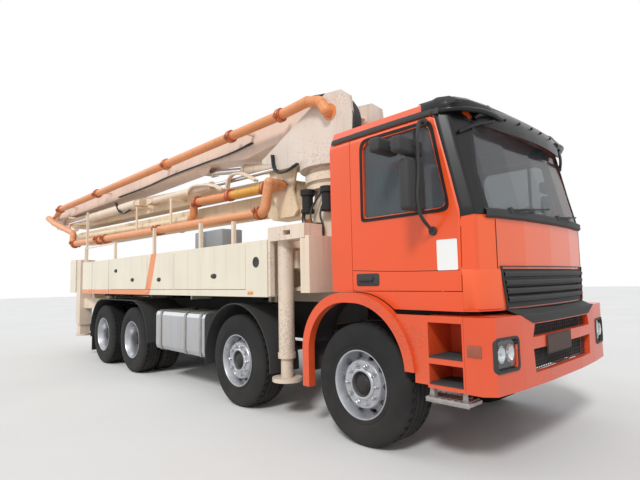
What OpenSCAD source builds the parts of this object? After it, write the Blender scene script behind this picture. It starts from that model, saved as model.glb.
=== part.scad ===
// Truck-mounted concrete pump with a four-arm placing boom, in travel position.
// Millimetres. +X is forward, +Y is the truck's left, +Z is up, z = 0 is the ground.
// Vehicle x values count from the first axle; frame_x moves them to the shared origin.

/* [Overall] */
// width over body, outriggers and bumper
body_width = 2500; // [2400:10:2550]
// distance between axles 1 and 2
axle_gap_12 = 1950; // [1700:10:2100]
// distance between axles 2 and 3
axle_gap_23 = 3150; // [2700:10:3400]
// distance between axles 3 and 4
axle_gap_34 = 1350; // [1300:10:1400]
// first axle to the bumper's front
front_overhang = 1320; // [1200:10:1450]

/* [Wheels] */
// outer radius of every tyre
tyre_r = 536; // [500:1:560]
// width of a single front tyre
tyre_w_front = 385; // [300:5:400]
// width of each twin rear tyre
tyre_w_rear = 312; // [280:2:320]
// gap between twin tyres
twin_gap = 34; // [20:2:60]
// radius of the rim's flange
rim_r = 292; // [260:1:300]
// middle of the vehicle to a wheel's outer face
wheel_face_y = 1215; // [1150:5:1230]
// half distance between kingpins
kingpin_y = 780; // [740:5:820]

/* [Chassis] */
// top of the frame rails
rail_top = 1020; // [950:5:1100]
// height of a frame rail
rail_h = 280; // [220:5:320]
// outer half width of the frame
rail_y = 425; // [380:5:450]
// height of the subframe on the rails
subframe_h = 180; // [120:5:240]
// rear end of the frame
frame_rear = 8050; // [7900:10:8300]

/* [Cab] */
// cab's rear wall behind axle 1
cab_rear = 370; // [300:5:450]
// width of the cab
cab_width = 2300; // [2200:10:2400]
// lower edge of the cab's doors
cab_floor = 1360; // [1300:5:1450]
// height of the windscreen's lower edge
sill_z = 1975; // [1900:5:2050]
// height of the cab's roof
cab_top = 2990; // [2850:5:3100]
// thickness of cab walls and doors
wall_t = 50; // [30:1:70]
// windscreen's rake from the vertical
rake = 13; // [8:0.5:18]
// rear and front edges of a door, from axle 1
door_rear = -100; // [-140:5:-60]
door_front = 1005; // [950:5:1040]

/* [Body] */
// lower and upper edge of the side lockers
locker_bottom = 1290; // [1200:5:1350]
locker_top = 1920; // [1800:5:2050]
// front and rear end of the lockers behind axle 1
locker_front = 1130; // [1100:5:1250]
locker_rear = 7600; // [7400:10:7700]
// depth of a locker
locker_depth = 530; // [400:10:600]
// thickness of the flaps
flap_t = 24; // [15:1:40]

/* [Boom] */
// slewing axis behind axle 1
turret_x = 1350; // [1250:5:1450]
// angle of the folded boom to the truck's middle line
boom_yaw = 4.6; // [0:0.01:6]
// foot pin of arm 1, from the slewing axis and the ground
foot = [150, 3550];
// rear knuckle between arms 1 and 2
knuckle_a = [-9350, 3180];
// front knuckle between arms 2 and 3
knuckle_b = [-800, 2780];
// rear knuckle between arms 3 and 4
knuckle_c = [-8250, 2590];
// tip of arm 4
tip_x = -1150; // [-1600:10:-1000]
// outer diameter of the delivery pipe
pipe_d = 136; // [120:1:150]
// outer diameter of a pipe coupling
clamp_d = 184; // [160:1:200]
// lane of the top pipe beside arm 1
lane_top = -425; // [-450:5:-400]
// lane of arm 2's pipe
lane_low = -520; // [-560:5:-480]
// lane of arm 3's pipe
lane_mid = -285; // [-320:5:-270]

/* [Hidden] */

$fn = 48;
gap = 6;
// running gap at pins, bushes and seats
fit = 0.3;
// radius of a pipe bend's middle line, and how much thicker its casting is
bend_r = 115;
bend_wall = 3;
axle_x = [0, -axle_gap_12, -axle_gap_12 - axle_gap_23, -axle_gap_12 - axle_gap_23 - axle_gap_34];
half = body_width / 2;
rail_bottom = rail_top - rail_h;
deck_base = rail_top + subframe_h;
pipe_r = pipe_d / 2;
// rearmost corner of the rear knuckle's plates, from the slewing axis
boom_rear = 110 - knuckle_a[0];
boom_reach = boom_rear * cos(boom_yaw) + 200 * sin(boom_yaw);
rear_end = turret_x + boom_reach;
frame_x = (rear_end - front_overhang) / 2;

// Shared helpers

module veh() translate([frame_x, 0, 0]) children();
module boom() veh() translate([-turret_x, 0, 0]) rotate([0, 0, boom_yaw]) children();
module both() { children(); mirror([0, 1, 0]) children(); }
module box(x0, x1, y0, y1, z0, z1) translate([x0, y0, z0]) cube([x1 - x0, y1 - y0, z1 - z0]);
// side view outline [x, z] drawn from y0 to y1
module side(points, y0, y1) translate([0, y1, 0]) rotate([90, 0, 0]) linear_extrude(height = y1 - y0) polygon(points);
module cyl_y(x, z, r, y0, y1, n = 48) translate([x, y1, z]) rotate([90, 0, 0]) cylinder(h = y1 - y0, r = r, $fn = n);
module cyl_x(y, z, r, x0, x1, n = 48) translate([x0, y, z]) rotate([0, 90, 0]) cylinder(h = x1 - x0, r = r, $fn = n);
module cyl_z(x, y, r, z0, z1, n = 48) translate([x, y, z0]) cylinder(h = z1 - z0, r = r, $fn = n);
// round bar between two points
module bar(a, b, r, n = 32) {
    d = b - a;
    translate(a) rotate([0, acos(d[2] / norm(d)), atan2(d[1], d[0])]) cylinder(h = norm(d), r = r, $fn = n);
}
// flat bar in a side view between [x, z] points, given width and y range
module link(a, b, w, y0, y1) {
    d = b - a;
    n = [-d[1], d[0]] / norm(d) * w / 2;
    side([a + n, b + n, b - n, a - n], y0, y1);
}
// steel bend of radius R at point p of a pipe that comes from a and goes to b
function unit(v) = v / norm(v);
module bend(a, p, b, r, R) {
    u = unit(p - a);
    v = unit(b - p);
    turn = acos(u * v);
    w = unit(cross(u, v));
    x = cross(u, w);
    translate(p - u * R * tan(turn / 2) - x * R) rotate([atan2(u[2], w[2]), -asin(x[2]), atan2(x[1], x[0])])
        rotate_extrude(angle = turn) translate([R, 0]) circle(r = r, $fn = 32);
}
// pipe along points, cut back at each bend so that it ends inside it
function trim(points, i, R) = i == 0 || i == len(points) - 1 ? 0
    : R * tan(acos(unit(points[i] - points[i - 1]) * unit(points[i + 1] - points[i])) / 2) - 12;
module pipe_run(points, r, R) {
    n = len(points) - 1;
    for (i = [0:n - 1]) {
        u = unit(points[i + 1] - points[i]);
        bar(points[i] + u * trim(points, i, R), points[i + 1] - u * trim(points, i + 1, R), r);
    }
    for (i = [1:n - 1]) bend(points[i - 1], points[i], points[i + 1], r + bend_wall, R);
}

// Chassis

module rail() {
    t = 10; w = 80;
    difference() {
        box(-frame_rear, 900, rail_y - w, rail_y, rail_bottom, rail_top);
        box(-frame_rear - 1, 901, rail_y - w - 1, rail_y - t, rail_bottom + t, rail_top - t);
    }
    difference() {
        box(-frame_rear, -560, rail_y - w, rail_y, rail_top + fit, deck_base);
        box(-frame_rear - 1, -559, rail_y - w - 1, rail_y - t, rail_top + t, deck_base - t);
    }
}

rear_pivot = [-7120, -850];
cross_x = [-7900, -5775, -4300, -3000, -900, 820];

module springs() {
    top = rail_bottom - fit;
    for (i = [0, 1]) {
        x = axle_x[i];
        side([[x - 700, top], [x - 700, 680], [x - 300, 640], [x + 300, 640], [x + 700, 680],
              [x + 700, top], [x + 620, top], [x + 600, 712], [x + 250, 690],
              [x - 250, 690], [x - 600, 712], [x - 620, top]], rail_y - 75, rail_y - 5);
    }
    for (i = [2, 3]) {
        x = axle_x[i];
        side([[x - 610, top], [x - 560, 640], [x + 560, 640], [x + 610, top],
              [x + 530, top], [x + 480, 700], [x - 480, 700], [x - 530, top]], rail_y - 75, rail_y - 5);
    }
}

module chassis_frame() color([0.13, 0.13, 0.14]) veh() {
    both() { rail(); springs(); }
    // cross members between the rails' webs
    for (x = cross_x) box(x - 50, x + 50, -rail_y + 10 + fit, rail_y - 10 - fit, rail_bottom + 40, rail_top - 40);
    // rear underrun bar on two hangers
    both() box(-frame_rear, -frame_rear + 60, rail_y - 80, rail_y, 480, rail_bottom - fit);
    box(-frame_rear - 60, -frame_rear - fit, -980, 980, 470, 590);
    // plates that hold the rear outriggers' pivots, on a web beside the rail
    both() {
        for (z = [880, 1235]) box(rear_pivot[0] - 85, rear_pivot[0] + 85, rail_y + 20 + fit, -rear_pivot[1] + 85, z, z + 45);
        box(rear_pivot[0] - 85, rear_pivot[0] + 85, rail_y + fit, rail_y + 20, 880, 1280);
        // bumper brackets
        box(870 + fit, front_overhang - 50 - fit, 290, 349, 905, 975);
    }
}

module engine() color([0.3, 0.31, 0.32]) veh()
{
        box(-400, 720, -320, 320, 640, 1240);
        box(-120, 60, -345 + fit, 345 - fit, 985, 1045);
    }

// Axles

module front_beam(x) {
    // beam dropped between the springs, with a forked fist at each kingpin
    side_y = kingpin_y;
    translate([x, 0, 0]) {
        box(-55, 55, -rail_y + 5, rail_y - 5, 560, 640);
        both() {
            box(-55, 55, rail_y - 5, side_y - 60, 470, 590);
            box(-60, 60, side_y - 60, side_y - 45, 440, 620);
            box(-45, 45, side_y - 45, side_y + 30, 440, 478);
            box(-45, 45, side_y - 45, side_y + 30, 582, 620);
        }
    }
}

module axles() color([0.2, 0.2, 0.21]) veh() {
    front_beam(axle_x[0]);
    front_beam(axle_x[1]);
    for (i = [2, 3]) translate([axle_x[i], 0, 0]) {
        cyl_y(0, tyre_r, 80, -rear_hub_y, rear_hub_y);
        translate([0, 0, tyre_r]) sphere(r = 210);
        both() box(-70, 70, rail_y - 75, rail_y - 5, 600, 640);
    }
}

rear_hub_y = wheel_face_y - tyre_w_rear - 60 - fit;

// steering knuckle between the fork's ears, with the brake plate and the stub axle
module knuckle() {
    cyl_z(0, kingpin_y, 38, 478 + fit, 582 - fit);
    box(-38, 38, kingpin_y, kingpin_y + 64, 478 + gap, 582 - gap);
    cyl_y(0, tyre_r - 6, 160, kingpin_y + 62, kingpin_y + 82);
    cyl_y(0, tyre_r, 60, kingpin_y + 80, wheel_face_y - 280 - fit);
}

module knuckle_at(i, s) color([0.22, 0.22, 0.23]) veh() translate([axle_x[i], 0, 0]) mirror([0, s < 0 ? 1 : 0, 0]) knuckle();
module knuckle_r1() knuckle_at(0, -1);
module knuckle_l1() knuckle_at(0, 1);
module knuckle_r2() knuckle_at(1, -1);
module knuckle_l2() knuckle_at(1, 1);

// Wheels: outlines [radius, depth inward from the outer face] turned about the axle

module ring(points, n = 72) rotate([90, 0, 0]) rotate_extrude($fn = n) polygon(points);
module ring_at(y) translate([0, -y, 0]) children();

module tyre(w) ring([[rim_r, 18], [rim_r + 20, 4], [rim_r + 95, 0], [tyre_r - 45, 8], [tyre_r - 8, 34], [tyre_r, 62],
    [tyre_r, w - 62], [tyre_r - 8, w - 34], [tyre_r - 45, w - 8], [rim_r + 95, w], [rim_r + 20, w - 4], [rim_r, w - 18]]);
module rim_barrel(w) ring([[rim_r, 18], [rim_r, w - 18], [rim_r - 14, w - 18], [rim_r - 34, w - 60],
    [rim_r - 34, 60], [rim_r - 14, 18]]);

// single front wheel: disc set near the outer face, open hub, drum behind
module front_wheel() {
    w = tyre_w_front;
    tyre(w);
    rim_barrel(w);
    difference() {
        ring([[rim_r - 30, 98], [235, 80], [200, 52], [170, 44], [60, 44], [60, 58], [166, 58], [194, 66], [228, 94], [rim_r - 30, 112]]);
        for (k = [0:9]) rotate([0, 36 * k + 18, 0]) translate([222, -30, 0]) rotate([90, 0, 0]) cylinder(h = 90, r = 26, $fn = 20);
    }
    ring([[0, 72], [78, 72], [78, 14], [108, 14], [120, 26], [120, 120], [205, 150], [205, 270], [192, 270], [192, 164],
          [110, 140], [110, 280], [0, 280]]);
}

// twin rear wheel: two tyres, a deep dish and the hub standing out of it
module rear_wheel() {
    w = tyre_w_rear;
    w2 = w + twin_gap;
    tyre(w);
    rim_barrel(w);
    ring_at(w2) { tyre(w); rim_barrel(w); }
    ring([[rim_r - 32, w - 56], [rim_r - 10, w - 30], [rim_r - 10, w2 + 30], [rim_r - 32, w2 + 56], [rim_r - 44, w2 + 50], [rim_r - 44, w - 50]]);
    ring([[rim_r - 40, w - 44], [rim_r - 40, w - 28], [150, w - 10], [60, w - 10], [60, w - 26], [146, w - 26]]);
    ring([[0, 66], [86, 66], [110, 84], [110, w + 8], [205, w + 40], [205, 2 * w], [192, 2 * w], [192, w + 54], [100, w + 24], [100, w + 60], [0, w + 60]]);
}

module wheel_at(i, s) color([0.08, 0.08, 0.08]) veh()
    translate([axle_x[i], s * wheel_face_y, tyre_r]) mirror([0, s > 0 ? 0 : 1, 0]) children();

module wheel_r1() wheel_at(0, -1) front_wheel();
module wheel_l1() wheel_at(0, 1) front_wheel();
module wheel_r2() wheel_at(1, -1) front_wheel();
module wheel_l2() wheel_at(1, 1) front_wheel();
module wheel_r3() wheel_at(2, -1) rear_wheel();
module wheel_l3() wheel_at(2, 1) rear_wheel();
module wheel_r4() wheel_at(3, -1) rear_wheel();
module wheel_l4() wheel_at(3, 1) rear_wheel();

// Cab

cab_half = cab_width / 2;
rake_run = tan(rake);
// plan outline of the cab's nose, inset by d; its sides and rear run on past the cab, where the other outlines cut it
function nose_side(d) = (1100 - d) - (210 + d) / 60 * (100 - 0.4 * d);
function nose(d) = [[-1500, -cab_half - 150], [nose_side(d), -cab_half - 150], [1100 - d, -cab_half + 60 + d],
    [1180 - d, -cab_half + 250 + d * 0.5], [1225 - d, -500], [1240 - d, 0], [1225 - d, 500],
    [1180 - d, cab_half - 250 - d * 0.5], [1100 - d, cab_half - 60 - d], [nose_side(d), cab_half + 150], [-1500, cab_half + 150]];
// side outline of the roof and rear wall, inset by d
function cab_side(d) = [[-cab_rear + d, cab_skirt + d], [-cab_rear + d, 2760], [-cab_rear + 30 + d, 2900 - d], [-120, cab_top - 25 - d],
    [300, cab_top - d], [760, cab_top - 40 - d], [1020, 2850 - d], [1400, 2850 - d], [1400, cab_skirt + d]];
// front view outline of the roof, inset by d
function cab_front_view(d) = [[-cab_half + d, cab_skirt + d], [-cab_half + d, 2740], [-cab_half + 40 + d, 2900 - d], [-cab_half + 200 + d, cab_top - 20 - d],
    [-300, cab_top - d], [300, cab_top - d], [cab_half - 200 - d, cab_top - 20 - d], [cab_half - 40 - d, 2900 - d], [cab_half - d, 2740], [cab_half - d, cab_skirt + d]];
cab_skirt = 1205;
// front arc of the wheel arch under the cab
arch_x = -50;
arch_r = 665;
arch_top = 1345;

// solid form of the cab, inset by d
module cab_solid(d) intersection() {
    side(cab_side(d), -1300, 1300);
    translate([1500, 0, 0]) rotate([90, 0, -90]) linear_extrude(height = 2000) polygon([for (p = cab_front_view(d)) [-p[0], p[1]]]);
    union() {
        translate([0, 0, cab_skirt + d]) linear_extrude(height = sill_z - cab_skirt - d) polygon(nose(d));
        intersection() {
            translate([0, 0, sill_z]) rotate([0, -rake, 0]) translate([0, 0, -400]) linear_extrude(height = 1700) polygon(nose_upper(d));
            box(-500, 1500, -1300, 1300, sill_z, 3100);
        }
    }
}
// the upper nose is drawn long to the rear, so that raking it leaves the rear wall upright
function nose_upper(d) = [for (p = nose(d)) [p[0] < 0 ? p[0] : p[0] * cos(rake), p[1]]];

module cab_wall(d0, d1) difference() { cab_solid(d0); cab_solid(d1); }

// door outline [x, z] and its window
door_outline = [[door_rear, cab_floor], [door_front, cab_floor], [door_front + 10, sill_z], [door_front - 150, 2735], [door_front - 230, 2775], [door_rear, 2775]];
door_window = [[55, 2035], [60, 2660], [110, 2710], [730, 2710], [775, 2670], [900, 2060], [870, 2015], [80, 2015]];
function grow(points, cx, cz, d) = [for (p = points) [p[0] + (p[0] > cx ? d : -d), p[1] + (p[1] > cz ? d : -d)]];
// windscreen outline seen from the front [y, z]
screen = [[-1010, sill_z + 25], [-930, 2720], [-880, 2750], [880, 2750], [930, 2720], [1010, sill_z + 25], [960, sill_z - 5], [-960, sill_z - 5]];
// nose panel below the windscreen, and the grille's opening in it
nose_panel = [[-1060, 1240], [-1060, sill_z - 50], [1060, sill_z - 50], [1060, 1240]];
grille_hole = [[-850, 1520], [850, 1520], [790, 1262], [-790, 1262]];
module from_front(points, x0, x1) translate([x0, 0, 0]) rotate([90, 0, 90]) linear_extrude(height = x1 - x0) polygon(points);

module cab_shell() color([0.85, 0.22, 0.08]) veh() {
    // hinge tabs in the door gaps
    both() for (z = [1480, 1850]) difference() {
        intersection() { cab_wall(1, wall_t - 1); box(1000, 1030, -1200, -1050, z, z + 60); }
        side(grow(door_outline, 400, 2000, fit), -1200, -1050);
    }
    difference() {
    cab_wall(0, wall_t);
    both() side(grow(door_outline, 400, 2000, gap), -cab_half - 10, -cab_half + wall_t + 70);
    from_front(screen, 700, 1500);
    from_front(grow(nose_panel, 0, 1600, fit), 1000, 1500);
    // wheel arch and step recess in the skirt
    both() side([[-cab_rear - 10, cab_skirt - 10], [-cab_rear - 10, cab_floor - 10], [arch_x, cab_floor - 10], [arch_x, cab_skirt - 10]], -1300, -700);
    both() cyl_y(arch_x, arch_top - arch_r, arch_r + 5, -1300, -700, 96);
    box(-cab_rear - 10, 1090, -700, 700, cab_skirt - 10, cab_floor - 80);
    }
}

module cab_front() color([0.85, 0.22, 0.08]) veh() difference() {
    intersection() { cab_wall(0, 30); from_front(nose_panel, 1060, 1500); }
    from_front(grille_hole, 1000, 1500);
}

module grille() color([0.05, 0.05, 0.05]) veh() {
    intersection() { cab_wall(30 + fit, 44); from_front(grow(grille_hole, 0, 1400, 14), 1060, 1500); }
    intersection() {
        cab_wall(-6, 36);
        from_front(grow(grille_hole, 0, 1400, -8), 1060, 1500);
        for (k = [0:4]) box(1060, 1500, -900, 900, 1284 + 50 * k, 1312 + 50 * k);
    }
}

module windscreen() color([0.2, 0.25, 0.28, 0.5]) veh() intersection() {
    cab_wall(14, 20);
    from_front(grow(screen, 0, 2300, -fit), 700, 1500);
}

module door() difference() {
    intersection() { cab_wall(0, wall_t); side(door_outline, -cab_half - 10, -cab_half + wall_t + 60); }
    side(door_window, -1400, -900);
}
module door_glass() intersection() {
    cab_wall(20, 26);
    side(door_window, -1400, -900);
}
module door_right() color([0.85, 0.22, 0.08]) veh() door();
module door_left() color([0.85, 0.22, 0.08]) veh() mirror([0, 1, 0]) door();
module door_glass_right() color([0.2, 0.25, 0.28, 0.5]) veh() door_glass();
module door_glass_left() color([0.2, 0.25, 0.28, 0.5]) veh() mirror([0, 1, 0]) door_glass();

// floor tray, two seats, bunk wall, dashboard and steering wheel
inside_y = cab_half - 150;
module cab_interior() color([0.2, 0.2, 0.21]) veh() {
    box(-cab_rear + wall_t + fit, 980, -inside_y, inside_y, 1420, 1450);
    both() {
        box(60, 560, -900, -400, 1450 + fit, 1800);
        side([[40, 1800 + fit], [560, 1800 + fit], [560, 1900], [180, 1880], [60, 2520], [-60, 2500]], -900, -400);
    }
    box(760, 1020, -inside_y, inside_y, 1700, 2020);
    box(820, 900, -inside_y + 100, inside_y - 100, 1450 + fit, 1700 - fit);
    difference() {
        translate([640, 650, 2040]) rotate([0, -35, 0]) {
            ring_flat(225, 16);
            cylinder(h = 24, r = 60, center = true);
            for (a = [0, 120, 240]) rotate([0, 0, a]) translate([0, -14, -8]) cube([225, 28, 16]);
            translate([0, 0, -330]) cylinder(h = 330, r = 30);
        }
        box(760 - fit, 1021, -inside_y - 1, inside_y + 1, 1699, 2020 + fit);
    }
}
module ring_flat(r, t) rotate_extrude($fn = 40) translate([r, 0, 0]) circle(r = t, $fn = 12);

// dark visor across the top of the windscreen, on brackets
module sun_visor() color([0.06, 0.06, 0.06]) veh() {
    intersection() {
        side([[985, 2885], [1030, 2900], [1300, 2800], [1310, 2760], [1295, 2755], [1270, 2790], [1030, 2875], [990, 2862]], -1080, 1080);
        translate([0, 0, 2700]) linear_extrude(height = 300) polygon([[900, -1080], [1110, -1060], [1260, -800], [1310, -400], [1318, 0], [1310, 400], [1260, 800], [1110, 1060], [900, 1080]]);
    }
    for (y = [-760, 0, 760]) side([[940, 2881.2], [1020, 2850 + fit + 0.2], [1045, 2850 + fit + 0.2], [1100, 2838], [1180, 2845], [1000, 2886], [945, 2892]], y - 15, y + 15);
}

// mirrors on a tube arm, fastened to each door, with a kerb mirror on the right
module mirror_arm(kerb) {
    y = -cab_half - fit;
    arm = [[735, y - 20, 2730], [800, y - 180 + fit, 2640], [785, y - 190 + fit, 2010], [780, y - 20, 1835]];
    for (k = [0:2]) bar(arm[k], arm[k + 1], 16);
    for (k = [1, 2]) translate(arm[k]) sphere(r = 18, $fn = 24);
    for (k = [0, 3]) cyl_y(arm[k][0], arm[k][2], 36, y - 22, y, 24);
    mirror_head(690, 780, -cab_half - 320, -cab_half - 75, 1985, 2385);
    mirror_head(680, 775, -cab_half - 410, -cab_half - 75, 2420, 2550);
    for (z = [2180, 2490]) bar([795, -cab_half - 185, z], [745, -cab_half - 195, z], 14, 16);
    if (kerb) {
        mirror_head(430, 540, -cab_half - 370, -cab_half - 80, 2480, 2600);
        bar([520, -cab_half - 220, 2540], [700, -cab_half - 240, 2520], 12, 16);
    }
}
// mirror housing with bevelled edges, glass side to the rear
module mirror_head(x0, x1, y0, y1, z0, z1) from_front([[y0, z0 + 35], [y0 + 35, z0], [y1 - 35, z0], [y1, z0 + 35],
    [y1, z1 - 35], [y1 - 35, z1], [y0 + 35, z1], [y0, z1 - 35]], x0, x1);
module mirror_right() color([0.06, 0.06, 0.06]) veh() mirror_arm(true);
module mirror_left() color([0.06, 0.06, 0.06]) veh() mirror([0, 1, 0]) mirror_arm(false);

// Bumper: bent plate with headlamp openings, a mesh and a slot
function bumper_plan(d) = [[1048, -half + 25 + d], [1180 - d, -half + 25 + d], [1262 - d, -half + 90 + d * 0.6], [front_overhang - 22 - d, -800], [front_overhang - d, -350],
    [front_overhang - d, 350], [front_overhang - 22 - d, 800], [1262 - d, half - 90 - d * 0.6], [1180 - d, half - 25 - d], [1048, half - 25 - d]];
tilt = [1215, cab_skirt - 12 - fit];
module bumper() color([0.85, 0.22, 0.08]) veh() {
    difference() {
    translate([0, 0, 620]) linear_extrude(height = 550) polygon(bumper_plan(0));
    translate([0, 0, 600]) linear_extrude(height = 530) polygon(concat([[1000, -half + 25 + 50]], [for (k = [0:9]) bumper_plan(50)[k]], [[1000, half - 25 - 50]]));
    both() from_front([[-1160, 790], [-1160, 1010], [-880, 1010], [-900, 790]], 1150, 1500);
    from_front([[-640, 990], [640, 990], [600, 1090], [-600, 1090]], 1150, 1500);
    from_front([[-620, 720], [620, 720], [640, 900], [-640, 900]], 1150, 1500);
    }
    // pins on which the cab tilts, in the slot under its front edge
    both() {
        cyl_y(tilt[0], tilt[1], 12, 350, 450, 24);
        box(tilt[0] - 12, tilt[0] + 12, 350, 450, 1165, tilt[1] - 6);
    }
}

// Arched guards: quarter bands of two radii, a straight top between them and straight legs below

// quarter of a round band over (x, z), to the rear with s = -1 or to the front with s = 1
module quarter(x, z, r, t, y0, y1, s) difference() {
    intersection() {
        cyl_y(x, z, r, y0, y1, 96);
        box(s < 0 ? x - r - 1 : x, s < 0 ? x : x + r + 1, y0, y1, z, z + r + 1);
    }
    cyl_y(x, z, r - t, y0 - 1, y1 + 1, 96);
}
// rear and front are [middle's x, outer radius, lower end of the leg]
module arch(top, rear, front, t, y0, y1) {
    quarter(rear[0], top - rear[1], rear[1], t, y0, y1, -1);
    quarter(front[0], top - front[1], front[1], t, y0, y1, 1);
    if (front[0] > rear[0]) box(rear[0], front[0], y0, y1, top - t, top);
    if (rear[2] < top - rear[1]) box(rear[0] - rear[1], rear[0] - rear[1] + t, y0, y1, rear[2], top - rear[1]);
    if (front[2] < top - front[1]) box(front[0] + front[1] - t, front[0] + front[1], y0, y1, front[2], top - front[1]);
}

// Fenders: orange arches over the first axle and step boxes ahead of them
fender_y = half - 5;
step_y = half - 35;
module fenders() color([0.85, 0.22, 0.08]) veh() both() {
    // broad band, cut off at its front end above the tyre's corner
    difference() {
        arch(arch_top, [-150, 570, 430], [arch_x, arch_r, 670], 90, -fender_y, -fender_y + 80);
        box(arch_x + 400, arch_x + arch_r + 10, -fender_y - 1, -fender_y + 81, 600, 720);
    }
    // inner liner
    intersection() {
        arch(arch_top, [-150, 570, 560], [arch_x, arch_r, 670], 12, -fender_y + 80, -820);
        box(-800, 360, -1300, -800, 500, 1400);
    }
    // step box with two treads
    difference() {
        box(720, 1040, -step_y, -860, 620, 1170);
        box(735, 1025, -step_y - 1, -880, 850, 1120);
        box(735, 1025, -step_y - 1, -880, 650, 805);
    }
    // panel between the arch and the steps
    difference() {
        side([[425, 1170], [720, 1170], [720, 640], [560, 640], [425, 900]], -step_y, -step_y + 30);
        cyl_y(arch_x, arch_top - arch_r, arch_r - 12, -step_y - 1, -step_y + 31, 96);
    }
    // galvanised lower step on two straps
    for (x = [740, 1000]) box(x, x + 16, -step_y + 35, -step_y + 75, 545, 620);
    box(700, 1060, -step_y, -step_y + 195, 520, 545);
    // brackets to the frame
    box(-690, -630, -840, -rail_y, 940, 1000);
    box(780, 840, -870, -rail_y, 880, 930);
}

// Tanks between the axles: fuel tank on the right, battery box and air vessels on the left
tank_front = -2720; tank_rear = -4180;
module side_tanks() color([0.75, 0.76, 0.78]) veh() {
    side_box_round(tank_rear, tank_front, -1200, -600, 470, 1060, 70);
    for (x = [-4030, -3300]) box(x - 25, x + 25, -610, -rail_y, 700, 760);
    mirror([0, 1, 0]) {
        side_box_round(-3560, tank_front, -1200, -620, 560, 1040, 20);
        cyl_x(-1020, 840, 150, tank_rear, -3620);
        cyl_x(-690, 840, 150, tank_rear, -3620);
        box(-3325, -3275, -625, -rail_y, 700, 760);
        box(-4025, -3975, -1150, -rail_y, 675, 740);
    }
}
// box with rounded edges along X
module side_box_round(x0, x1, y0, y1, z0, z1, r) translate([x0, 0, 0]) rotate([90, 0, 90]) linear_extrude(height = x1 - x0)
    polygon([[y0 + r, z0], [y1 - r, z0], [y1 - r * 0.29, z0 + r * 0.29], [y1, z0 + r], [y1, z1 - r], [y1 - r * 0.29, z1 - r * 0.29], [y1 - r, z1],
             [y0 + r, z1], [y0 + r * 0.29, z1 - r * 0.29], [y0, z1 - r], [y0, z0 + r], [y0 + r * 0.29, z0 + r * 0.29]]);

// Mudguards over axle 2 and over the rear pair
guard_y = half - 10;
guard_t = 12;
module mudguards() color([0.07, 0.07, 0.07]) veh() both() {
    x2 = axle_x[1];
    arch(1210, [x2, 690, 420], [x2, 690, 470], guard_t, -guard_y, -830);
    box(x2 - 30, x2 + 30, -850, -rail_y, 1165, 1200);
    x3 = axle_x[2]; x4 = axle_x[3];
    arch(1195, [x4, 630, 450], [x3 + 30, 655, 600], guard_t, -guard_y, -560);
    for (x = [x4 + 675 - 30]) box(x, x + 60, -580, -rail_y, 1150, 1186);
}

// Body: lockers along both sides, a deck between them and a corner cabinet at the rear
flap_edges = [[-5980, -4440], [-4400, -3520], [-3490, -1700]];
flap_z = [1375, 1880];
locker_x = [-locker_rear, -locker_front - 150];
skin_t = 30;
panel_t = 25;
module closed_locker() difference() {
    box(locker_x[0], locker_x[1], -half, -half + locker_depth, locker_bottom, locker_top);
    box(locker_x[0] + panel_t, locker_x[1] - panel_t, -half + skin_t, -half + locker_depth - panel_t, locker_bottom + panel_t, locker_top - panel_t);
}
// open locker: floor, roof, back, ends and a front frame with pillars between the flaps
module open_locker() {
    y_in = -half + skin_t;
    y_back = -half + locker_depth;
    z_in = [locker_bottom + panel_t, locker_top - panel_t];
    posts = concat([locker_x[0]], [for (f = flap_edges) each [f[0] - gap, f[1] + gap]], [locker_x[1]]);
    box(locker_x[0], locker_x[1], -half, y_in, locker_bottom, flap_z[0] - gap);
    box(locker_x[0], locker_x[1], -half, y_in, flap_z[1] + fit, locker_top);
    for (k = [0:3]) box(posts[2 * k], posts[2 * k + 1], -half, y_in, flap_z[0] - gap + fit, flap_z[1]);
    for (z = [locker_bottom, z_in[1]]) box(locker_x[0], locker_x[1], y_in + fit, y_back, z, z + panel_t);
    box(locker_x[0], locker_x[1], y_back - panel_t, y_back, z_in[0] + fit, z_in[1] - fit);
    for (x = [locker_x[0], locker_x[1] - panel_t]) box(x, x + panel_t, y_in + fit, y_back - panel_t - fit, z_in[0] + fit, z_in[1] - fit);
}
module body() color([0.86, 0.82, 0.72]) veh() {
    open_locker();
    mirror([0, 1, 0]) closed_locker();
    // deck and its cross frames on the subframe
    inner = half - locker_depth - fit;
    box(-locker_rear, -1900, -inner, inner, 1840, 1870);
    for (x = [-7550, -5500, -4000, -1960]) both() box(x, x + 50, -inner, -rail_y + 80, deck_base, 1840 - fit);
    // rear corner cabinets on struts from the lockers
    both() {
        box(-8450, -8060, -half, -860, 1300, 2000);
        box(-8110, -locker_rear - fit, -inner - 60, -inner, 1300, 1350);
        box(-8110, -8060, -860 + fit, -inner - 60 - fit, 1300, 1350);
    }
}
module flap(k) color([0.86, 0.82, 0.72]) veh() box(flap_edges[k][0], flap_edges[k][1], -half, -half + flap_t, flap_z[0], flap_z[1]);
module flap_1() flap(0);
module flap_2() flap(1);
module flap_3() flap(2);

// Rails: posts on the lockers, a thin rail and the tall rear posts
post_x = [[-5900, 2230], [-4250, 2330], [-2800, 2260], [-2000, 2200]];
module railings() color([0.88, 0.87, 0.84]) veh() {
    both() for (p = post_x) box(p[0] - 25, p[0] + 25, -half + 20, -half + 60, locker_top, p[1]);
    both() box(-7560, -5875, -half + 30, -half + 50, 2200, 2225);
    both() box(-7580, -7540, -half + 20, -half + 60, locker_top, 2240);
    box(-7500, -7465, -half + 20, -half + 60, locker_top, 2960);
}

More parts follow.
